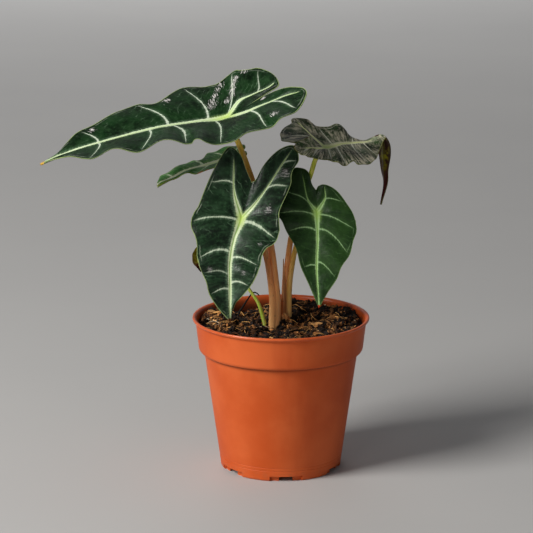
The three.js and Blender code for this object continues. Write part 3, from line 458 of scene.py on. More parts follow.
# Petioles: smooth fleshy stems, pinkish tan at the foot, browner above and yellow-green under the blade.
# Three share a foot on the left and two on the right, with a dry sheath and scales between; the old leaf's is
# thin and lime green, and a dead one is a dark strand. Each is a round section carried along a curve.
STEMS = {
    "tall_left": {
        "radius": [3.5, 2.2, 1.8],
        "route": [[-3, 1, 79.7], [-3.5, 0, 96.5], [-3, 1, 115], [-4.5, 1.5, 132], [-6.5, 3, 149.5],
                  [-11, 7, 172.5], [-19, 9.5, 195], [-25.5, 9.5, 213.5], [-30, 8, 225], [-36.5, 5, 240]],
        "colours": [(240, 172, 106), (255, 184, 116), (252, 166, 92), (250, 158, 80), (250, 156, 74),
                    (236, 186, 60), (206, 196, 60)],
    },
    "front_left": {
        "radius": [3.3, 2.1, 1.6],
        "route": [[-5, -0.5, 79.7], [-5.5, -1, 97], [-5.5, -1, 115.5], [-7.5, -1, 132.5], [-10, -1, 146],
                  [-14, 2, 158], [-20, 3, 167.5], [-26.5, -9, 174]],
        "colours": [(240, 176, 112), (255, 190, 122), (250, 168, 98), (236, 140, 74), (206, 150, 68),
                    (186, 180, 66)],
    },
    "small_back": {
        "radius": [2.2, 1.4, 1.2],
        "route": [[-2, 4.5, 79.7], [-2.5, 5, 99], [-3.5, 7, 113.5], [-5.5, 11, 129.5], [-8, 15, 147],
                  [-15, 21, 170], [-24, 28, 192.5], [-33.5, 31, 208.5]],
        "colours": [(214, 150, 92), (226, 150, 92), (200, 124, 70), (170, 122, 60), (160, 140, 60),
                    (150, 164, 66)],
    },
    "upper_right": {
        "radius": [2.6, 1.9, 1.6],
        "route": [[2.5, 10.5, 79.7], [3, 12.5, 101.5], [3, 13, 119], [4, 13, 133], [6.5, 15, 153.5],
                  [11, 17, 172.5], [15.5, 17, 186.5], [20, 14, 199.5], [23.5, 11, 211], [29.5, 10, 218.5]],
        "colours": [(214, 160, 98), (244, 186, 112), (238, 152, 86), (216, 156, 62), (172, 176, 36),
                    (172, 186, 44)],
    },
    "front_right": {
        "radius": [2.5, 1.9, 1.4],
        "route": [[4.5, 9.5, 79.7], [5, 11.5, 102], [5.5, 12, 119.5], [7, 12, 133.5], [10, 12, 149],
                  [15, 13, 161], [20, 12, 169.5], [24, 4, 175.5]],
        "colours": [(220, 170, 102), (250, 206, 126), (240, 194, 100), (222, 176, 78), (196, 170, 64),
                    (182, 180, 62)],
    },
    "sheath_tip": {
        "radius": [2.1, 1.3, 0.3],
        "route": [[1.4, 8.6, 95], [1.5, 9, 108], [1.7, 9.4, 120], [1.8, 9.4, 132], [1.6, 9.4, 144]],
        "colours": [(214, 150, 90), (212, 140, 80), (214, 142, 82), (222, 172, 122)],
    },
    "old": {
        "radius": [1.4, 1.1, 0.9],
        "route": [[-10.2, -1, 85.7], [-10.5, 0, 95.5], [-12.5, 1, 104], [-15.5, 2, 113], [-21, 4, 121],
                  [-28.5, 8, 131], [-37.5, 12, 141], [-44.5, 15, 149], [-48, 14, 152.5]],
        "colours": [(130, 158, 44), (156, 190, 50), (176, 204, 66), (184, 200, 76), (170, 174, 66),
                    (150, 130, 50)],
    },
    "dead": {
        "radius": [0.8, 0.6, 0.4],
        "route": [[-30, 18, 96], [-28.5, 18, 102], [-25.6, 20, 106.2], [-22.7, 22, 110.4], [-19.3, 24, 114.3],
                  [-16.3, 25, 113.6], [-14, 26, 110]],
        "colours": [(30, 18, 12), (22, 12, 8), (30, 18, 12)],
    },
}
STEM_GROUPS = {
    "petioles_left": ("stems_left", "stem_brown", ["tall_left", "front_left", "small_back"]),
    "petioles_right": ("stems_right", "stem_olive", ["upper_right", "front_right", "sheath_tip"]),
    "petiole_old_leaf": ("stem_old_leaf", "stem_lime", ["old"]),
    "petiole_dead": (None, "soil", ["dead"]),
}
STEM_SIDES = 28
STEM_STEPS = 90
STEM_SHORT = 2.2
SCALES = {"seed": 3, "count": 46, "place": (2.4, 4.0), "spread": (2.1, 1.7), "height": 3.8}


def curve(points, share):
    """The smooth curve through points, at shares from 0 at the first point to 1 at the last, with equal steps
    from point to point. Its direction at a point is half-way between its neighbours, and the ends run
    straight."""
    points = np.asarray(points, float)
    last = len(points) - 1
    travel = np.clip(share, 0, 1) * last
    i = np.minimum(travel.astype(int), last - 1)
    w = (travel - i)[..., None]
    ends = np.concatenate([[2 * points[0] - points[1]], points, [2 * points[-1] - points[-2]]])
    before, start, end, after = (ends[i + k] for k in range(4))
    leave, arrive = (end - before) / 2, (after - start) / 2
    return (start + leave * w + (3 * (end - start) - 2 * leave - arrive) * w ** 2
            + (2 * (start - end) + leave + arrive) * w ** 3)


def unit(vectors):
    """Each vector at length 1."""
    return vectors / np.maximum(np.linalg.norm(vectors, axis=-1, keepdims=True), 1e-12)


def tube(route, radius, steps, sides):
    """A round section carried along the curve through route to just under the blade, its radius going evenly
    from foot to middle to end, with a rounded foot and end. Gives the grid of points and the share of the
    length at each row."""
    fine = curve(route, np.linspace(0, 1, 400))
    length = np.concatenate([[0], np.cumsum(np.linalg.norm(np.diff(fine, axis=0), axis=1))])
    fine, length = fine[length < length[-1] - STEM_SHORT], length[length < length[-1] - STEM_SHORT]
    share = np.concatenate([[0] * 4, np.linspace(0, 1, steps), [1] * 4])
    middle = np.stack([np.interp(share * length[-1], length, part) for part in fine.T], axis=-1)
    along = unit(np.stack([np.interp(share * length[-1], length, part)
                           for part in np.gradient(fine, axis=0).T], axis=-1))
    across = unit(np.cross(along, [0, 1, 0]))
    other = np.cross(along, across)
    width = np.interp(share, [0, 0.5, 1], radius)
    cap = np.concatenate([np.linspace(0, 1, 4, endpoint=False), np.ones(steps), np.linspace(1, 0, 5)[1:]])
    turn = np.arange(sides) * 2 * np.pi / sides
    ring = across[:, None] * np.cos(turn)[:, None] + other[:, None] * np.sin(turn)[:, None]
    push = np.concatenate([np.zeros(4 + steps), np.sqrt(1 - np.linspace(1, 0, 5)[1:] ** 2)]) * 0.5
    middle = middle + along * (push * width)[:, None]
    return middle[:, None] + ring * (width * cap)[:, None, None], share


stem_skin, tree, shader, place = new_material("stem_skin")
tint = add(tree, "Attribute", attribute_name="tint").outputs["Color"]
streak = noise(tree, stretched(tree, place, 900, 900, 26), 1, 3)
blotch = noise(tree, stretched(tree, place, 130, 130, 45), 1, 4)
speck = noise(tree, stretched(tree, place, 700, 700, 300), 1, 2)
colour = blend(tree, calc(tree, "MULTIPLY", fade(tree, streak, 0.4, 0.72), 0.4), tint, rgb(246, 206, 156))
colour = blend(tree, calc(tree, "MULTIPLY", fade(tree, blotch, 0.5, 0.75), 0.3), colour, rgb(176, 96, 52))
colour = blend(tree, calc(tree, "MULTIPLY", fade(tree, speck, 0.66, 0.72), 0.4), colour, rgb(84, 48, 30))
tree.links.new(colour, shader.inputs["Base Color"])
shader.inputs["Roughness"].default_value = 0.5
shader.inputs["Specular IOR Level"].default_value = 0.4
tree.links.new(bump(tree, streak, 0.00025), shader.inputs["Normal"])

for name, (node, slot, members) in STEM_GROUPS.items():
    points, faces, tints, start = [], [], [], 0
    for member in members:
        stem = STEMS[member]
        grid, share = tube(stem["route"], stem["radius"], STEM_STEPS, STEM_SIDES)
        stops = np.linspace(0, 1, len(stem["colours"]))
        lights = np.array([rgb(*colour) for colour in stem["colours"]])
        rows = np.stack([np.interp(share, stops, part) for part in lights.T], axis=-1)
        points.append(grid.reshape(-1, 3))
        faces.append(grid_faces(*grid.shape[:2], wrap=True) + start)
        tints.append(np.repeat(rows, STEM_SIDES, axis=0))
        start += grid.shape[0] * grid.shape[1]
    skin = stem_skin if node else ground_earth
    made = piece(name, np.concatenate(points), np.concatenate(faces), skin, slot, sharp=60,
                 tint=np.concatenate(tints))
    if node:
        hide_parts(node)

draw = np.random.default_rng(SCALES["seed"])
count = SCALES["count"]
shape, faces = ball(5, 8)
scale = shape * (1 + draw.uniform(-0.15, 0.15, (count, len(shape), 1))) * [0.8, 0.45, 1.5]
scale = turned(scale * draw.uniform(0.7, 1.4, (count, 1, 1)), draw.uniform(-0.8, 0.8, count),
               draw.normal(0, 0.35, count))
away = draw.normal(0, 1, (2, count))
x, y = (SCALES["place"][k] + SCALES["spread"][k] * away[k] for k in (0, 1))
z = ground_height(x, y) + 0.5 + SCALES["height"] * np.exp(-(away ** 2).sum(axis=0) / 2)
start = np.arange(count)[:, None, None] * len(shape)
share = np.repeat(draw.uniform(0, 1, count), len(shape))[:, None]
piece("dry_scales", scale + np.stack([x, y, z], axis=-1)[:, None], (faces + start).reshape(-1, 3), stem_skin,
      "stem_brown", sharp=60, tidy=False,
      tint=np.array(rgb(255, 188, 108)) * share + np.array(rgb(166, 94, 46)) * (1 - share))


# Blades: leathery arrowhead leaves, glossy deep green above, with pale veins, a lime midrib and a fine pale
# margin, and duller below. Each grows on the end of its petiole. It is drawn flat, filled with ribs from the
# midrib or the lobe's own vein to the margin, and bent over its spine.
BLADE = {
    "thickness": 0.75, "ridge": 0.8, "ridge_width": 2.5, "quilt": 0.9, "bow": 0.1, "cleft": 10, "slit": 0.4,
    "thinning": 0.45, "vein": 0.25, "vein_width": 0.9, "ruffle": 0.35, "ruffle_drop": 1.2,
    "ruffle_turns": 9.4,
}
# On a flat blade y runs along the midrib from the petiole and x across it. A rib is its root, its place on
# the margin, how bold a vein it is, and how far the margin is lifted there. A root above 0 is a share of the
# midrib, and one below 0 a share of the lobe's vein, first along its outer side and then back along its
# inner side. Dry patches, and shining ones that have no streaks, are x, y and radius.
LEAVES = {
    "tall_left": {
        "junction": 2, "curl": -9, "width": 42, "wave": [4, 1], "scallop": 3.2, "arc": 0.06,
        "rise": [0, 0],
        "spine": [[10, 6, 265.5], [-15.5, 6, 252], [-36.5, 5, 240], [-56, 2, 237.5], [-80.5, -2, 234.5],
                  [-107, -6, 228.5], [-133, -9, 221.5], [-160, -11, 211.5]],
        "facing": [[-0.1, -0.35, 0.93], [0, -0.34, 0.93], [0, -0.33, 0.93], [0, -0.33, 0.94],
                   [0, -0.33, 0.94], [0, -0.33, 0.94], [0, -0.33, 0.94], [0, -0.33, 0.94]],
        "fold": [[6, 12], [8, 14], [10, 14], [10, 10], [10, 10], [10, 10], [14, 14], [24, 24]],
        "plus": {
            "lobe": [[8, -14.5], [12.5, -29.5], [15, -42], [19.5, -52.5]],
            "ribs": [[0.86, 9.5, 111, 0], [0.68, 23.5, 95.5, 0.8], [0.41, 30, 63, 0.9],
                     [0.29, 33, 32.5, 0.9], [0.23, 34, 26.5, 0], [0.15, 39.5, 20, 0], [0.07, 39, 10, 0.9],
                     [0, 42.5, 0, 0], [-0.1, 38.5, -9.5, 0], [-0.27, 42, -24, 0.8], [-0.4, 45, -35.5, 0],
                     [-0.55, 37.5, -48, 0.7], [-0.75, 29.5, -55, 0], [-0.92, 25.5, -57, 0],
                     [-1, 21, -55.5, 0], [-0.85, 16.5, -51.5, 0], [-0.7, 11.5, -47, 0], [-0.5, 6, -40.5, 0],
                     [-0.3, 1.5, -30, 0], [0, 0, -18, 0]],
        },
        "minus": {
            "lobe": [[-7, -11], [-6.2, -21], [-5, -32], [-6, -39]],
            "ribs": [[0.97, -1, 121.5, 0], [0.93, -2.5, 116.5, 0], [0.85, -9.5, 107, 0],
                     [0.68, -17, 97.5, 0.7], [0.58, -20.5, 84.5, 0], [0.45, -27.5, 68, 0],
                     [0.31, -30.5, 56, 1], [0.2, -26.5, 43, 0], [0.1, -42, 23, 1], [0.07, -36.5, 8.5, 0],
                     [0.04, -34, -3, 0], [0.01, -37, -17.5, 0.8], [-0.25, -33.5, -22, 0],
                     [-0.4, -30, -27.5, 0], [-0.6, -28, -32.5, 0.4], [-0.85, -20, -38, 0], [-1, -11, -41, 0],
                     [-0.9, -4, -41.5, 0], [-0.75, -1.5, -40, 0], [-0.5, -1.5, -33, 0], [0, 0, -18, 0]],
        },
        "dry": [[0, 127, 2]],
        "shine": [[-31, -6, 4], [-27, -1.5, 4], [-22.5, 2.5, 4.5], [-18, 5.5, 5], [-14, 8, 5], [-28, -17, 4],
                  [-24, -14.5, 4], [-20, -12, 4], [-16.5, -10, 4], [-13.5, -5, 4], [-31, -24, 4],
                  [33.5, -32, 5], [-27, 36.5, 4], [-14.5, 89, 4], [4, -28, 3]],
    },
    "front_left": {
        "junction": 2, "curl": -15, "width": 32, "wave": [2, 2], "scallop": 2.4, "arc": 0.09,
        "rise": [0, 0],
        "spine": [[-15, 1, 218.5], [-19.5, -4.5, 198], [-26.5, -9, 174], [-31.5, -14, 160.5],
                  [-34, -19, 146.5], [-34, -24, 128.5], [-33.5, -28, 106]],
        "facing": [[-0.15, -1, 0.15], [-0.1, -1, 0.2], [-0.05, -1, 0.25], [0, -1, 0.28], [0, -1, 0.3],
                   [0, -1, 0.28], [0, -1, 0.2]],
        "fold": [[8, 8], [10, 10], [12, 12], [12, 12], [12, 12], [16, 16], [24, 24]],
        "plus": {
            "lobe": [[6, -12], [12, -27], [21.5, -50.5]],
            "ribs": [[0.97, 0.5, 68.5, 0], [0.92, 1.5, 63.5, 0], [0.84, 4, 58, 0], [0.75, 8.5, 53.5, 0],
                     [0.62, 14, 47, 0.7], [0.5, 18, 41, 0], [0.39, 20.5, 32.5, 1], [0.04, 27.5, 5.5, 1.6],
                     [0, 25, -6, 0], [-0.2, 23.5, -13.5, 0], [-0.6, 26, -29, 0.9], [-0.87, 28, -45.5, 0.8],
                     [-1, 23, -54.5, 0], [-0.8, 14, -50, 0], [-0.5, 6, -38, 0], [-0.2, 2.5, -28, 0],
                     [0, 0, -25, 0]],
        },
        "minus": {
            "lobe": [[-10, -17], [-15, -39.5]],
            "ribs": [[0.93, -2.5, 68, 0], [0.84, -8.5, 61, 0], [0.68, -14, 52, 0.6], [0.62, -16, 44, 0],
                     [0.55, -18.5, 38, 0.35], [0.45, -20.5, 34, 0], [0.34, -22, 30, 1], [0.03, -31, 13, 1.8],
                     [0, -30, 3, 0], [-0.6, -28.5, -17.5, 0.7], [-0.85, -25.5, -33, 0], [-1, -20, -45, 0],
                     [-0.8, -11.5, -42, 0], [-0.4, -5.5, -32.5, 0], [0, 0, -25, 0]],
        },
        "dry": [[0, 71, 3.5]],
        "shine": [[21, -35, 5], [10, 38, 3], [-13, 36, 3], [16, -11, 4], [18, 14, 3]],
    },
    "front_right": {
        "junction": 2, "curl": -14, "width": 28, "wave": [1.5, 1.5], "scallop": 1, "arc": 0.08,
        "rise": [0, 0],
        "spine": [[22.5, 13, 202.5], [23.5, 8.5, 189.5], [24, 4, 175.5], [24.5, -1, 157.5], [24, -6, 138],
                  [25.5, -11, 112.5]],
        "facing": [[0, -1, 0.35], [0, -1, 0.35], [0, -1, 0.35], [0, -1, 0.3], [0, -1, 0.28], [0, -1, 0.25]],
        "fold": [[6, 6], [8, 8], [10, 10], [10, 10], [12, 12], [20, 20]],
        "plus": {
            "lobe": [[5.5, -8.5], [5.5, -16]],
            "ribs": [[0.78, 6.5, 55, 0], [0.52, 13.5, 45.5, 0.6], [0.18, 22, 28, 0.7], [0.03, 26.5, 13, 0.9],
                     [0, 24.5, 2.5, 0], [-0.5, 19.5, -6.5, 0.8], [-0.8, 13.5, -14, 0], [-1, 6.5, -18, 0],
                     [-0.5, 2, -17.5, 0], [0, 0, -15, 0]],
        },
        "minus": {
            "lobe": [[-6, -9], [-8.5, -27]],
            "ribs": [[0.8, -4.5, 52, 0], [0.56, -10.5, 37.5, 0.6], [0.2, -21, 12.5, 0.8],
                     [0.05, -27.5, 0, 0.8], [0, -27, -5, 0], [-0.3, -23, -17, 0.7], [-0.8, -15, -29.5, 0],
                     [-1, -9.5, -30.5, 0], [-0.8, -4.5, -27.5, 0], [-0.4, -2.5, -19, 0], [0, 0, -15, 0]],
        },
        "dry": [[0, 64, 2]],
        "shine": [],
    },
    "upper_right": {
        "junction": 2, "curl": -5, "width": 26, "wave": [1, 1.5], "scallop": 1.5, "arc": 0.02,
        "rise": [-0.14, 0.14],
        "spine": [[4.5, -12.5, 228.5], [17, -1.5, 224], [29.5, 10, 218.5], [41, 22.5, 218.5],
                  [50.5, 32.5, 217.5], [60, 41.5, 217], [68.2, 47, 220.8], [70.7, 48.5, 214.5],
                  [71.2, 49, 205.5], [71.5, 49, 195], [72, 48, 186], [69.5, 46, 171.5]],
        "facing": [[0.18, -0.2, 0.96], [0.18, -0.2, 0.96], [0.18, -0.2, 0.96], [0.18, -0.2, 0.96],
                   [0.18, -0.2, 0.96], [0.16, -0.18, 0.97], [0.6, 0.25, 0.75], [0.82, 0.57, 0.1],
                   [0.8, 0.6, 0], [0.8, 0.6, 0], [0.8, 0.6, 0], [0.8, 0.55, -0.1]],
        "fold": [[-5, -40], [5, -24], [16, -8], [24, 0], [20, -4], [-25, -10], [-45, -16], [-10, 0], [4, 4],
                 [6, 6], [10, 10], [20, 20]],
        "plus": {
            "lobe": [[10, -3], [20.5, -4.5], [30.5, -5.5]],
            "ribs": [[0.86, 2.5, 89, 0], [0.76, 5, 80, 0], [0.62, 8, 65, 0], [0.5, 9, 54, 0],
                     [0.42, 8, 47, 0], [0.36, 9.5, 42, 0], [0.3, 7, 37.5, 0], [0.27, 8.5, 35.5, 0.8],
                     [0.24, 11, 33.5, 0], [0.22, 13, 32.5, 0], [0.2, 16, 29.5, 0], [0.17, 18, 25, 0],
                     [0.13, 17, 18, 0], [0.09, 20, 11, 1], [0, 24, 9.5, 0], [-0.3, 28, 8.5, 0],
                     [-0.6, 32, 3, 0], [-0.9, 34.5, -4, 0], [-1, 33.5, -8, 0], [-0.9, 29, -11, 0],
                     [-0.8, 26, -16, 0], [-0.65, 23, -21, 0], [-0.5, 18.5, -26, 0], [-0.35, 13.5, -29, 0.6],
                     [-0.25, 6.5, -33, 0], [-0.15, 1.5, -32, 0], [-0.08, 1, -24, 0], [0, 0, -10, 0]],
        },
        "minus": {
            "lobe": [[-5, -14], [-8.4, -25.5]],
            "ribs": [[0.86, -2, 90, 0], [0.76, -3.5, 80, 0], [0.64, -6, 69, 0], [0.52, -6, 55, 0],
                     [0.44, -9, 47, 0], [0.36, -18, 36, 0.8], [0.31, -26.5, 23, 0], [0.25, -28.5, 14, 0.9],
                     [0.2, -27, 9.5, 0], [0.17, -25, 6, 0], [0.15, -21, 6.5, 0], [0.13, -21, 3.5, 0],
                     [0.1, -21.5, 1, 0.9], [0.05, -19, -3, 0], [0.02, -15, -4.5, 1], [0, -15.5, -10.5, 0],
                     [-0.1, -16, -18, 0], [-0.3, -14.5, -21, 0.8], [-0.55, -15, -27, 0],
                     [-0.75, -13, -29.5, 0.7], [-0.9, -12, -32.5, 0], [-1, -9.5, -34.5, 0],
                     [-0.8, -5.5, -31, 0], [-0.6, -3, -26, 0, 2], [-0.35, -1.5, -19, 0, 4.5],
                     [-0.15, -1, -13.5, 0, 2], [0, 0, -10, 0]],
        },
        "dry": [[1, 52, 1.8], [-8.6, -34.5, 1.2], [-1, -23, 1.6]],
        "shine": [[-5.5, 39.5, 6], [-3.5, 46.5, 5], [15.5, 21, 6], [23, 4, 4], [17, -20, 6], [-14.5, -1, 4]],
    },
    "small_back": {
        "junction": 1, "curl": -7, "width": 20, "wave": [1.5, 1], "scallop": 1.8, "arc": 0.08,
        "rise": [0, 0],
        "spine": [[-21, 34, 213], [-33.5, 31, 208.5], [-44, 29, 204.5], [-56, 27, 201.5], [-68.5, 25, 197.5],
                  [-84.5, 23, 189.5]],
        "facing": [[0, -0.1, 1], [0, -0.1, 1], [0, -0.1, 1], [0, -0.1, 1], [0, -0.1, 1], [0, -0.1, 1]],
        "fold": [[6, 6], [6, 6], [6, 6], [6, 6], [6, 6], [10, 10]],
        "plus": {
            "lobe": [[5, -4], [8, -7.5]],
            "ribs": [[0.9, 2, 52.5, 0], [0.75, 4.5, 44, 0.6], [0.62, 6, 38.5, 0], [0.5, 9.5, 34, 0],
                     [0.4, 9, 31, 0], [0.33, 13, 27.5, 0.6], [0.2, 15, 22, 0], [0.05, 14, 14, 0],
                     [0, 14, 5, 0], [-0.5, 13.5, -3.5, 0.5], [-1, 9, -9, 0], [-0.5, 3.5, -8, 0],
                     [0, 0, -4, 0]],
        },
        "minus": {
            "lobe": [[-6, -4], [-8, -7]],
            "ribs": [[0.97, -5.5, 53.5, 0], [0.9, -9.5, 51.5, 0], [0.8, -12, 48, 0.7], [0.65, -12.5, 41, 0],
                     [0.5, -13, 33, 0], [0.4, -16, 26, 0.7], [0.33, -11, 22.5, 0], [0.26, -13, 18.5, 0],
                     [0.18, -20.5, 14.5, 0], [0.1, -22, 11, 0.7], [0, -19, 4.5, 0], [-0.4, -16, -3.5, 0],
                     [-0.7, -14, -8, 0.6], [-1, -8.5, -12, 0], [-0.6, -2.5, -10, 0], [0, 0, -4, 0]],
        },
        "dry": [[10, 37, 1.8], [14, 25, 2.2], [16, 20, 2]],
        "shine": [],
    },
    "old": {
        "junction": 1, "curl": -20, "width": 10, "wave": [1.5, 1.5], "scallop": 1, "arc": 0.05,
        "rise": [0, 0],
        "spine": [[-47, 16, 155.5], [-48, 14, 152.5], [-52, 10.5, 149], [-55, 7.5, 145], [-56, 5, 140],
                  [-54.5, 3.5, 134]],
        "facing": [[-0.4, -0.6, 0.7], [-0.5, -0.6, 0.5], [-0.6, -0.7, 0.3], [-0.5, -0.8, 0.1],
                   [-0.4, -0.9, 0], [-0.4, -0.9, 0]],
        "fold": [[10, 10], [10, 10], [10, 10], [10, 10], [10, 10], [20, 20]],
        "plus": {
            "lobe": [[1.5, -1.2], [2, -2.6]],
            "ribs": [[0.7, 3.6, 15.5, 0.4], [0.35, 5, 9, 0.4], [0, 4.5, 1, 0], [-1, 2.4, -3, 0],
                     [0, 0, -1.4, 0]],
        },
        "minus": {
            "lobe": [[-1.5, -1.2], [-2, -2.6]],
            "ribs": [[0.8, -4.6, 16.5, 0.4], [0.4, -6, 10, 0.4], [0, -4.5, 1, 0], [-1, -2.4, -3, 0],
                     [0, 0, -1.4, 0]],
        },
        "dry": [[-5, 1, 5], [4, 2, 4], [0, 21, 4]],
        "shine": [],
    },
}


def spine_of(leaf):
    """The blade's spine, sampled closely: its place, direction, upper face and folds, and the distance y from
    the petiole at each sample."""
    share = np.linspace(0, 1, 241)
    place = curve(leaf["spine"], share)
    along = unit(np.gradient(place, axis=0))
    face = curve(leaf["facing"], share)
    face = unit(face - (face * along).sum(axis=-1, keepdims=True) * along)
    distance = np.concatenate([[0], np.cumsum(np.linalg.norm(np.diff(place, axis=0), axis=1))])
    start = np.interp(leaf["junction"] / (len(leaf["spine"]) - 1), share, distance)
    return {"y": distance - start, "place": place, "along": along, "face": face,
            "fold": curve(leaf["fold"], share)}


def bent(leaf, spine, x, y, lift):
    """Flat points put on the bent blade. Each half turns about the spine by its fold and on by its curl, so
    across is the integral of the cosine of that angle and up the integral of its sine; lift is added square
    to the face. Behind the cleft a lobe leaves the spine at its own slope."""
    def read(table):
        return np.stack([np.interp(y, spine["y"], part) for part in table.T], axis=-1)
    along, face, fold = unit(read(spine["along"])), unit(read(spine["face"])), np.radians(read(spine["fold"]))
    across = unit(np.cross(face, along))
    beyond = np.maximum(0, y - spine["y"][-1]) + np.minimum(0, y - spine["y"][0])
    left = x >= 0
    side, reach = np.where(left, 1, -1), np.abs(x)
    start = np.where(left, fold[..., 0], fold[..., 1])
    bending = np.radians(leaf["curl"]) / leaf["width"]
    end = start + bending * reach
    tilt = end * np.minimum(1, reach / 3)
    rise = np.where(left, *leaf["rise"]) * np.maximum(0, -y - BLADE["cleft"])
    out = side * (np.sin(end) - np.sin(start)) / bending - side * np.sin(tilt) * lift
    up = (np.cos(start) - np.cos(end)) / bending + np.cos(tilt) * lift + rise
    return read(spine["place"]) + along * beyond[..., None] + across * out[..., None] + face * up[..., None]


def half_blade(leaf, name, length, travel, share):
    """One half of a flat blade on a grid: rows by travel, 0 at the tip, 1 at the petiole, 2 at the lobe's end
    and 3 back at the petiole, and columns by share from root to margin. The margin is the curve through the
    ribs' ends, drawn in between veins; a rib bows away from the tip. Phase is a whole number on each vein."""
    ribs = leaf[name]["ribs"]
    roots, bold = (np.array([rib[k] for rib in ribs], float) for k in (0, 3))
    margin = [[0, length, 0]] + [rib[1:3] + [rib[4] if len(rib) > 4 else 0] for rib in ribs]
    side = 1 if name == "plus" else -1
    end = int(np.argmax(roots == -1))
    marks = np.concatenate([[0], np.where(np.arange(len(ribs)) <= end, 1 - roots, 3 + roots)])
    vein = np.concatenate([[True], bold > 0])
    last = len(ribs)
    stops = np.flatnonzero(np.concatenate([vein[:-1], [True]]))
    phases = np.interp(np.arange(last + 1), stops, np.arange(len(stops)))
    knot = np.interp(travel, marks, np.arange(last + 1))
    edge = curve(margin, knot / last)
    edge, up = edge[:, :2], edge[:, 2:]
    phase = np.interp(knot, np.arange(last + 1), phases)
    bold = np.concatenate([[0], bold])[stops[np.round(phase).astype(int)]]
    here = np.minimum(knot.astype(int), last - 1)
    lobe = curve(np.concatenate([[[0, 0]], leaf[name]["lobe"]]), np.where(travel < 2, travel - 1, 3 - travel))
    root = np.where((travel <= 1)[:, None], np.stack([0 * travel, (1 - travel) * length], axis=-1), lobe)
    notch = leaf["scallop"] * vein[here] * vein[here + 1] * np.sin(np.pi * phase) ** 2
    edge = edge - unit(edge - root) * notch[:, None]
    slit = np.where(travel > 2, BLADE["slit"] * np.minimum(1, (3 - travel) * 8), 0)
    edge[:, 0] = side * np.maximum(side * edge[:, 0], slit)
    chord = np.linalg.norm(edge - root, axis=-1)
    sway = np.interp(travel, [0.8, 1, 1.3, 1.8, 2], [1, 0, -1, -1, 0])
    middle = (root + edge) / 2 - np.stack([0 * travel, BLADE["bow"] * chord * sway], axis=-1)
    t = share[:, None]
    flat = root[:, None] * (1 - t) ** 2 + 2 * middle[:, None] * t * (1 - t) + edge[:, None] * t ** 2
    swell = np.sin(np.pi * phase[:, None]) ** 2
    wave = leaf["wave"][0 if side > 0 else 1] * np.minimum(1, travel / 0.5)[:, None]
    lift = (swell * wave + up) * share ** 2 + swell * BLADE["quilt"] * 4 * share * (1 - share)
    return flat, lift, phase, chord, bold


def spots(flat, patches):
    """How deep each flat point lies in the patches x, y, radius: 1 in the middle of one, falling as a
    bell."""
    depth = [np.exp(-((flat[..., 0] - x) ** 2 + (flat[..., 1] - y) ** 2) / radius ** 2)
             for x, y, radius in patches]
    return np.max([np.zeros(flat.shape[:2])] + depth, axis=0)


def blade(leaf, step):
    """The two halves as a closed shell: an upper and a lower sheet and the wall at the margin. Besides points
    and faces it gives what the finish reads at each point: the distance in millimetres from the midrib, from
    the margin and from one vein to the next, the phase with each vein bent on towards the tip, the place
    along the midrib, how bold the nearest vein is, the dry and shining patches, and 1 on the lower face."""
    spine = spine_of(leaf)
    length = spine["y"][-1]
    lobe_length = max(np.linalg.norm(leaf[name]["lobe"][-1]) for name in ("plus", "minus"))
    along_midrib = np.linspace(0, 1, int(length / step))
    along_lobe = np.linspace(0, 1, max(10, int(1.4 * lobe_length / step)))
    travel = np.concatenate([along_midrib, 1 + along_lobe[1:], 3 - along_lobe[-2::-1]])
    share = np.concatenate([[0, 0.006], np.linspace(0, 1, int(leaf["width"] / step) + 2)[1:]])
    points, faces, start = [], [], 0
    layers = {}
    for name in ("plus", "minus"):
        flat, lift, phase, chord, bold = half_blade(leaf, name, length, travel, share)
        shape = lift.shape
        ahead = np.gradient(flat, travel, axis=0)
        out = unit(flat[:, -1:] - flat[:, :1] + 1e-9)
        turn = np.maximum(np.abs(np.gradient(phase, travel)), 0.2)[:, None]
        spacing = np.abs(ahead[..., 0] * out[..., 1] - ahead[..., 1] * out[..., 0]) / turn
        spacing = np.clip(spacing, 0.5, 60) + 60 * np.clip((travel[:, None] - 2.75) * 6, 0, 1)
        sweep = chord * np.interp(travel, [0, 1, 1.3, 1.8, 2], [1, 1, 1.5, 1.5, 0])
        arc = leaf["arc"] * sweep[:, None] * 6.75 * share * (1 - share) ** 2
        vein_phase = phase[:, None] - arc / spacing
        near_vein = np.abs(vein_phase - np.round(phase)[:, None]) * spacing
        reach = chord[:, None] * share
        depth = BLADE["thickness"] * (1 - BLADE["thinning"] * share ** 6)
        depth = depth + BLADE["ridge"] * np.exp(-(reach / BLADE["ridge_width"]) ** 2)
        depth = depth + BLADE["vein"] * np.exp(-(near_vein / BLADE["vein_width"]) ** 2) * (1 - share)
        ruffle = np.sin(BLADE["ruffle_turns"] * phase) - BLADE["ruffle_drop"]
        ruffle = BLADE["ruffle"] * ruffle[:, None] * share ** 3
        values = {"reach": reach, "margin": chord[:, None] * (1 - share), "spacing": spacing,
                  "phase": vein_phase, "along": (2 - np.abs(travel - 2))[:, None], "bold": bold[:, None],
                  "dry": spots(flat, leaf["dry"]), "shine": spots(flat, leaf["shine"])}
        for under in (0, 1):
            sheet = bent(leaf, spine, flat[..., 0], flat[..., 1], lift + ruffle - under * depth)
            points.append(sheet.reshape(-1, 3))
            faces.append(grid_faces(*shape) + start)
            for key, layer in (*values.items(), ("under", float(under))):
                layers.setdefault(key, []).append(np.broadcast_to(layer, shape).reshape(-1))
            start += shape[0] * shape[1]
        rim = np.arange(shape[0]) * shape[1] + shape[1] - 1 + start - 2 * shape[0] * shape[1]
        low_rim = rim + shape[0] * shape[1]
        faces.append(np.stack([rim[:-1], rim[1:], low_rim[1:], low_rim[:-1]], axis=1))
    layers = {key: np.concatenate(parts) for key, parts in layers.items()}
    return np.concatenate(points), np.concatenate(faces), layers


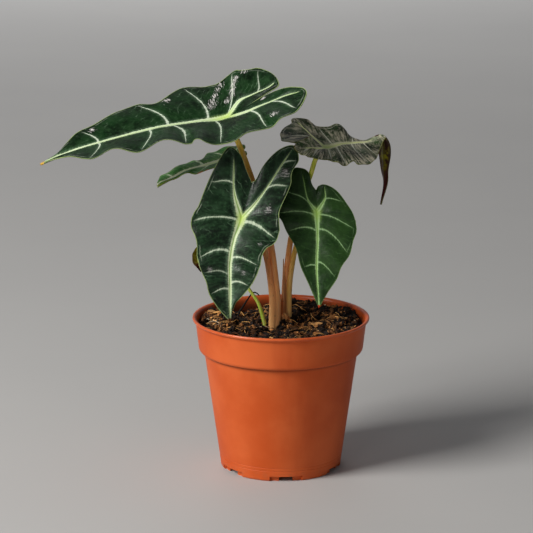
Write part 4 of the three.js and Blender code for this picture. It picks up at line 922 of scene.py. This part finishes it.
VEIN_INPUTS = ("Reach", "Margin", "Spacing", "Phase", "Along", "Bold")
MASKS = ("Band", "Core", "Junction", "Vein", "Halo", "Hair", "Streak", "Edge vein", "Edge", "Height")


def vein_masks():
    """Node group: where the ribs and veins of a blade are, each mask from 0 to 1. The midrib and the lobes'
    veins are a pale band, widest at the petiole, with a green core. The veins narrow to the margin and stop
    short of it, a thin broken one runs inside the margin, and all have a border of short streaks."""
    group, given, out = new_group("vein_masks", {**dict.fromkeys(VEIN_INPUTS + ("Scale",), "Float"),
                                                 "Place": "Vector"}, dict.fromkeys(MASKS, "Float"))
    reach, margin, spacing, phase = (given[key] for key in ("Reach", "Margin", "Spacing", "Phase"))
    along, bold, scale = (given[key] for key in ("Along", "Bold", "Scale"))

    def times(*values):
        """The product of several values."""
        product = values[0]
        for value in values[1:]:
            product = calc(group, "MULTIPLY", product, value)
        return product

    def plus(first, second):
        """The sum of two values."""
        return calc(group, "ADD", first, second)

    def less(first, second):
        """The first value less the second."""
        return calc(group, "SUBTRACT", first, second)

    def streaks(first, second):
        """Cloudy values from 0 to 1 over two coordinates, stretched where one of them runs slowly."""
        pair = add(group, "CombineXYZ", {0: first, 1: second}).outputs[0]
        return fade(group, noise(group, pair, 1.0, 4, 0.65), 0.34, 0.66)

    def feathered(past, reach_out, fringe):
        """A border that falls off from 0 to reach_out past a line's edge, in strokes where the fringe is
        high."""
        falling = calc(group, "POWER", fade(group, past, reach_out, -0.3), 1.5)
        return times(falling, plus(times(fringe, 0.8), 0.2))

    wobble = less(noise(group, given["Place"], 260, 2), 0.5)
    on_lobe = fade(group, along, 1.0, 2.0)
    fringe = streaks(times(along, 75.0), plus(times(reach, 0.25), times(phase, 0.6)))
    half = plus(times(calc(group, "MINIMUM", along, 1.0), 0.85), times(fade(group, along, 0.78, 1.0), 0.8))
    half = plus(half, 0.75)
    half = times(half, less(1.0, times(fade(group, along, 0.95, 1.6), 0.72)), scale)
    past = less(plus(reach, times(wobble, 0.5)), times(half, plus(times(fringe, 0.3), 0.95)))
    band = fade(group, past, 0.5, -0.4)
    core_half = times(half, plus(times(on_lobe, 0.2), 0.24))
    core = times(fade(group, less(reach, core_half), 0.25, -0.1), fade(group, along, 0.15, 0.4))
    at_petiole = times(fade(group, along, 0.88, 1.0), fade(group, along, 1.16, 1.0))
    junction = times(at_petiole, fade(group, reach, 4.5, 1.0))
    band_halo = times(feathered(past, 3.2, fringe), less(1.0, times(on_lobe, 0.4)))

    turn = less(phase, add(group, "Math", {0: phase}, operation="ROUND").outputs[0])
    near = calc(group, "ABSOLUTE", plus(times(turn, spacing), times(wobble, 0.6)))
    outward = calc(group, "DIVIDE", margin, plus(plus(margin, reach), 0.01))
    fringe = streaks(times(reach, 0.8), plus(times(near, 0.3), times(phase, 2.0)))
    width = times(plus(times(outward, 0.62), 0.03), plus(times(bold, 0.6), 0.4), scale)
    past = less(near, times(width, plus(times(fringe, 0.6), 0.7)))
    whole = times(fade(group, margin, 0.6, 6.0), fade(group, bold, 0.0, 0.6))
    vein = times(fade(group, past, 0.4, -0.2), whole, plus(times(fringe, 0.35), 0.65))
    inner = times(calc(group, "MINIMUM", bold, 1.0), fade(group, margin, 1.0, 9.0), 0.7)
    vein_halo = times(feathered(past, 2.6, fringe), inner)

    fine = calc(group, "FRACT", less(plus(times(phase, 6.0), wobble), times(reach, 0.16)))
    saw = calc(group, "ABSOLUTE", less(fine, 0.5))
    hair = times(fade(group, saw, 0.1, 0.01), fade(group, noise(group, given["Place"], 110, 3), 0.5, 0.7),
                 fade(group, reach, 2.0, 5.0))
    swell = calc(group, "POWER", calc(group, "SINE", times(phase, np.pi)), 2.0)
    loop = less(margin, plus(times(swell, -0.7), 2.3))
    loop = calc(group, "ABSOLUTE", plus(loop, times(wobble, 1.2)))
    broken = fade(group, noise(group, given["Place"], 90, 3), 0.46, 0.62)
    edge_vein = times(fade(group, loop, 0.45, 0.05), broken, fade(group, bold, 0.1, 0.6))
    edge = fade(group, plus(margin, times(wobble, 0.3)), 0.6, 0.2)
    halo = calc(group, "MAXIMUM", band_halo, vein_halo)
    streak = streaks(times(reach, 0.09), times(phase, 9.0))
    height = calc(group, "MAXIMUM", band, times(vein, 0.8))
    for name, value in zip(MASKS, (band, core, junction, vein, halo, hair, streak, edge_vein, edge, height)):
        group.links.new(value, out[name])
    return group


POINT_INPUTS = ("Reach", "Margin", "Phase", "Along", "Dry", "Shine", "Under")
STRENGTHS = ("Contrast", "Streaky", "Glare", "Rib start", "Rib end", "Low start", "Low end", "Gloss start",
             "Gloss end")
COLOURS = ("Dark", "Mid", "Streak", "Halo", "Vein", "Band", "Core", "Junction", "Edge", "Dry", "Below",
           "Below dark", "Below vein", "Below low")
GLARE = rgb(226, 221, 218)


def leaf_paint():
    """Node group: a blade's colour, roughness and fine relief. Above, two clouded greens with streaks along
    the veins, then the vein masks painted over them in their own colours, and strokes of glare in the shining
    patches; below, two blotched colours and a third low down; last the dry patches on both."""
    floats = POINT_INPUTS + MASKS + STRENGTHS
    group, given, out = new_group(
        "leaf_paint",
        {"Place": "Vector", **dict.fromkeys(floats, "Float"),
         **{key + " colour": "Color" for key in COLOURS}},
        {"Colour": "Color", "Roughness": "Float", "Relief": "Float"})
    place = given["Place"]

    def times(*values):
        """The product of several values."""
        product = values[0]
        for value in values[1:]:
            product = calc(group, "MULTIPLY", product, value)
        return product

    cloud = noise(group, place, 70, 4)
    fleck = noise(group, place, 520, 3)
    colour = blend(group, fade(group, cloud, 0.36, 0.64), given["Dark colour"], given["Mid colour"])
    # Flecks and streaks along the veins in the streak colour; where that colour is pale, as on the upper
    # right leaf, they are painted sheen.
    colour = blend(group, times(fade(group, fleck, 0.5, 0.75), 0.45), colour, given["Streak colour"])
    streak = times(calc(group, "POWER", given["Streak"], 2.2), fade(group, given["Shine"], 0.9, 0.1))
    colour = blend(group, times(streak, given["Streaky"], 0.6), colour, given["Streak colour"])
    rib = add(group, "MapRange", {"Value": given["Along"], "From Min": given["Rib start"],
                                  "From Max": given["Rib end"]}, interpolation_type="SMOOTHSTEP").outputs[0]
    contrast = given["Contrast"]
    layers = (("Hair", 0.45, contrast, "Halo"), ("Halo", 0.75, contrast, "Halo"),
              ("Edge vein", 0.42, contrast, "Vein"), ("Vein", 0.9, 1.0, "Vein"), ("Band", 0.92, rib, "Band"),
              ("Core", 0.85, rib, "Core"), ("Junction", 0.65, 1.0, "Junction"), ("Edge", 0.85, 1.0, "Edge"))
    for mask, strength, factor, key in layers:
        colour = blend(group, times(given[mask], strength, factor), colour, given[key + " colour"])

    strokes = add(group, "CombineXYZ", {0: times(given["Reach"], 0.25),
                                        1: times(given["Phase"], 26.0)}).outputs[0]
    strokes = times(calc(group, "SUBTRACT", noise(group, strokes, 1.0, 4, 0.7), 0.5), 2.4)
    shine = fade(group, calc(group, "ADD", times(given["Shine"], 0.72), strokes), 0.52, 0.82)
    shine = times(shine, fade(group, fleck, 0.1, 0.5), given["Glare"])
    colour = blend(group, shine, colour, GLARE)

    mottle = fade(group, noise(group, place, 190, 4), 0.42, 0.58)
    mottle = times(mottle, fade(group, given["Margin"], 0.3, 3.5))
    below = blend(group, mottle, given["Below dark colour"], given["Below colour"])
    below_vein = times(calc(group, "MAXIMUM", given["Vein"], given["Band"]), 0.5)
    below = blend(group, below_vein, below, given["Below vein colour"])
    height = add(group, "SeparateXYZ", {"Vector": place}).outputs["Z"]
    low = add(group, "MapRange", {"Value": height, "From Min": given["Low end"],
                                  "From Max": given["Low start"], "To Min": 1.0, "To Max": 0.0},
              interpolation_type="SMOOTHSTEP").outputs[0]
    below = blend(group, low, below, given["Below low colour"])
    colour = blend(group, given["Under"], colour, below)
    dry = calc(group, "ADD", given["Dry"], times(calc(group, "SUBTRACT", cloud, 0.5), 0.8))
    colour = blend(group, fade(group, dry, 0.3, 0.6), colour, given["Dry colour"])
    group.links.new(colour, out["Colour"])

    rough = add(group, "MapRange", {"Value": noise(group, place, 160, 4), "From Min": 0.3, "From Max": 0.7,
                                    "To Min": given["Gloss start"], "To Max": given["Gloss end"]}).outputs[0]
    group.links.new(rough, out["Roughness"])
    ripple = times(noise(group, place, 210, 3), 0.5)
    relief = calc(group, "SUBTRACT", ripple, times(given["Height"], 0.5))
    group.links.new(calc(group, "ADD", relief, times(fleck, 0.12)), out["Relief"])
    return group


VEIN_MASKS = vein_masks()
LEAF_PAINT = leaf_paint()


def leaf_finish(name, look):
    """A blade's material: what the mesh stores at each point and the leaf's own look, put into the groups. In
    a look four numbers are a colour, two the start and the end of a change, and one a strength."""
    made, tree, shader, place = new_material("blade_" + name)
    stored = {key: add(tree, "Attribute", attribute_name=key.lower()).outputs["Fac"]
              for key in dict.fromkeys(VEIN_INPUTS + POINT_INPUTS)}
    masks = add(tree, "Group", {"Place": place, "Scale": look["scale"],
                                **{key: stored[key] for key in VEIN_INPUTS}}, node_tree=VEIN_MASKS).outputs
    values = {"Place": place, **{key: stored[key] for key in POINT_INPUTS},
              **{key: masks[key] for key in MASKS}}
    for key, value in look.items():
        label = key.capitalize().replace("_", " ")
        if np.size(value) == 4:
            values[label + " colour"] = value
        elif np.size(value) == 2:
            values[label + " start"], values[label + " end"] = value
        elif label in STRENGTHS:
            values[label] = value
    paint = add(tree, "Group", values, node_tree=LEAF_PAINT).outputs
    tree.links.new(paint["Colour"], shader.inputs["Base Color"])
    tree.links.new(paint["Roughness"], shader.inputs["Roughness"])
    shader.inputs["Specular IOR Level"].default_value = look["specular"]
    tree.links.new(bump(tree, paint["Relief"], 0.0007), shader.inputs["Normal"])
    return made


GREEN = {
    "scale": 1.0, "contrast": 1.0, "streaky": 0.6, "glare": 0.0, "gloss": (0.26, 0.46), "specular": 0.28,
    "rib": (-0.1, 0.0),
    "dark": rgb(7, 20, 9), "mid": rgb(21, 43, 23), "streak": rgb(54, 86, 56), "halo": rgb(138, 172, 136),
    "vein": rgb(212, 224, 202), "band": rgb(218, 230, 202), "core": rgb(126, 158, 76),
    "junction": rgb(182, 210, 84), "edge": rgb(148, 166, 106), "dry": rgb(120, 60, 40),
    "below": rgb(92, 104, 76), "below_dark": rgb(66, 78, 60), "below_vein": rgb(160, 180, 130),
    "low": (0.0, -0.1), "below_low": rgb(66, 78, 60),
}
LOOKS = {
    "tall_left": {
        **GREEN, "contrast": 0.55, "glare": 0.8, "specular": 0.12, "dry": rgb(200, 160, 70),
        "dark": rgb(6, 21, 7), "mid": rgb(18, 46, 19), "streak": rgb(46, 74, 44),
        "band": rgb(212, 228, 188), "core": rgb(180, 206, 140),
    },
    "front_left": {
        **GREEN, "scale": 1.1, "contrast": 0.8, "glare": 0.32, "band": rgb(200, 214, 172),
        "vein": rgb(204, 218, 190),
        "dry": rgb(112, 70, 40),
    },
    "front_right": {
        **GREEN, "scale": 0.85, "contrast": 0.6, "dark": rgb(20, 43, 14), "mid": rgb(35, 61, 23),
        "streak": rgb(46, 78, 34), "halo": rgb(92, 134, 76), "vein": rgb(148, 184, 128),
        "band": rgb(160, 194, 130), "core": rgb(120, 160, 70), "junction": rgb(150, 186, 78),
        "edge": rgb(92, 118, 62), "dry": rgb(180, 60, 26),
    },
    "upper_right": {
        **GREEN, "contrast": 0.9, "streaky": 1.3, "rib": (0.53, 0.66), "gloss": (0.34, 0.5), "specular": 0.15,
        # Its pale streak colour paints bands of sheen along the veins.
        "dark": rgb(22, 38, 18), "mid": rgb(60, 84, 48), "streak": rgb(232, 222, 194),
        "halo": rgb(170, 178, 148),
        "vein": rgb(255, 255, 232), "band": rgb(255, 255, 208), "core": rgb(244, 255, 160),
        "junction": rgb(170, 194, 104), "edge": rgb(120, 124, 66), "dry": rgb(64, 28, 12),
        "below": rgb(132, 126, 6), "below_dark": rgb(48, 22, 4), "below_vein": rgb(96, 92, 20),
        "low": (0.205, 0.185), "below_low": rgb(62, 14, 12),
    },
    "small_back": {
        **GREEN, "scale": 1.8, "contrast": 1.0, "specular": 0.08, "dark": rgb(24, 78, 22),
        "mid": rgb(66, 136, 50), "streak": rgb(128, 174, 106), "halo": rgb(150, 190, 120),
        "vein": rgb(236, 250, 214), "band": rgb(250, 255, 222), "core": rgb(216, 240, 160),
        "edge": rgb(150, 160, 50), "dry": rgb(170, 104, 40),
    },
    "old": {
        **GREEN, "scale": 0.8, "contrast": 0.3, "gloss": (0.4, 0.6), "specular": 0.03,
        "dark": rgb(42, 34, 2), "mid": rgb(86, 84, 2), "streak": rgb(56, 42, 6), "halo": rgb(110, 100, 30),
        "vein": rgb(120, 112, 36), "band": rgb(120, 116, 40), "edge": rgb(70, 44, 14), "dry": rgb(48, 24, 10),
        "below": rgb(112, 96, 34), "below_dark": rgb(84, 56, 22),
    },
}
for name, leaf in LEAVES.items():
    points, faces, layers = blade(leaf, 0.9 if leaf["width"] > 25 else 0.6)
    made = piece("blade_" + name, points, faces, leaf_finish(name, LOOKS[name]),
                 "leaf_yellowing" if name == "old" else "leaf_green", sharp=70, **layers)
    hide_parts("leaf_" + name)


# Setting: a plain pale floor that runs past the view. One large soft light is at the upper left, weak ones
# at the right and low in front, one behind gives the leaves their sheen, and one lights the floor far behind.
# The camera stands in front, a little above the leaves, and looks down on the pot.
CAMERA_PLACE = (0, -1.6, 0.5273)
CAMERA_DOWN = np.radians(13.65)
CAMERA_TURN = np.radians(0.35)
CAMERA_LENS = 164.94

floor_paint, tree, shader, place = new_material("floor_paint")
tone = noise(tree, place, 3, 3)
tree.links.new(blend(tree, tone, rgb(176, 175, 174), rgb(184, 183, 181)), shader.inputs["Base Color"])
shader.inputs["Roughness"].default_value = 0.8
floor = bpy.data.meshes.new("floor")
floor.from_pydata([(-8, -8, 0), (8, -8, 0), (8, 12, 0), (-8, 12, 0)], [], [(0, 1, 2, 3)])
floor.materials.append(floor_paint)
floor = bpy.data.objects.new("floor", floor)
bpy.context.scene.collection.objects.link(floor)


def soft_light(name, size, power, place, target, colour, mirrored=True):
    """A square area light in watts that faces a target; one that isn't mirrored leaves no gloss."""
    lamp = bpy.data.lights.new(name, "AREA")
    lamp.size = size
    lamp.energy = power
    lamp.color = colour
    made = bpy.data.objects.new(name, lamp)
    made.location = place
    made.visible_glossy = mirrored
    made.rotation_euler = (Vector(target) - Vector(place)).to_track_quat("-Z", "Y").to_euler()
    bpy.context.scene.collection.objects.link(made)


soft_light("window", 0.9, 55, (-1.5, -0.9, 1.35), (0, 0, 0.15), (1.0, 0.98, 0.95))
soft_light("bounce", 1.4, 1.5, (1.5, -1.2, 0.9), (0, 0, 0.15), (0.95, 0.97, 1.0))
soft_light("front", 0.5, 5, (-0.85, -1.85, 0.3), (0, 0, 0.12), (1.0, 0.98, 0.95), False)
soft_light("behind", 3.0, 175, (-1.0, 4.5, 2.5), (-0.5, 5.5, 0), (1.0, 1.0, 1.0), False)
soft_light("sheen", 1.6, 2, (-0.3, 1.6, 1.4), (0, 0, 0.2), (1.0, 1.0, 1.0))
world = bpy.data.worlds.new("studio")
world.use_nodes = True
world.node_tree.nodes["Background"].inputs["Color"].default_value = rgb(190, 192, 196)
world.node_tree.nodes["Background"].inputs["Strength"].default_value = 0.19
bpy.context.scene.world = world

camera = bpy.data.cameras.new("camera")
camera.sensor_width = 36
camera.lens = CAMERA_LENS
camera.clip_end = 50
camera = bpy.data.objects.new("camera", camera)
camera.location = CAMERA_PLACE
camera.rotation_euler = (np.pi / 2 - CAMERA_DOWN, 0, CAMERA_TURN)
bpy.context.scene.collection.objects.link(camera)
bpy.context.scene.camera = camera
bpy.context.scene.view_settings.view_transform = "Standard"
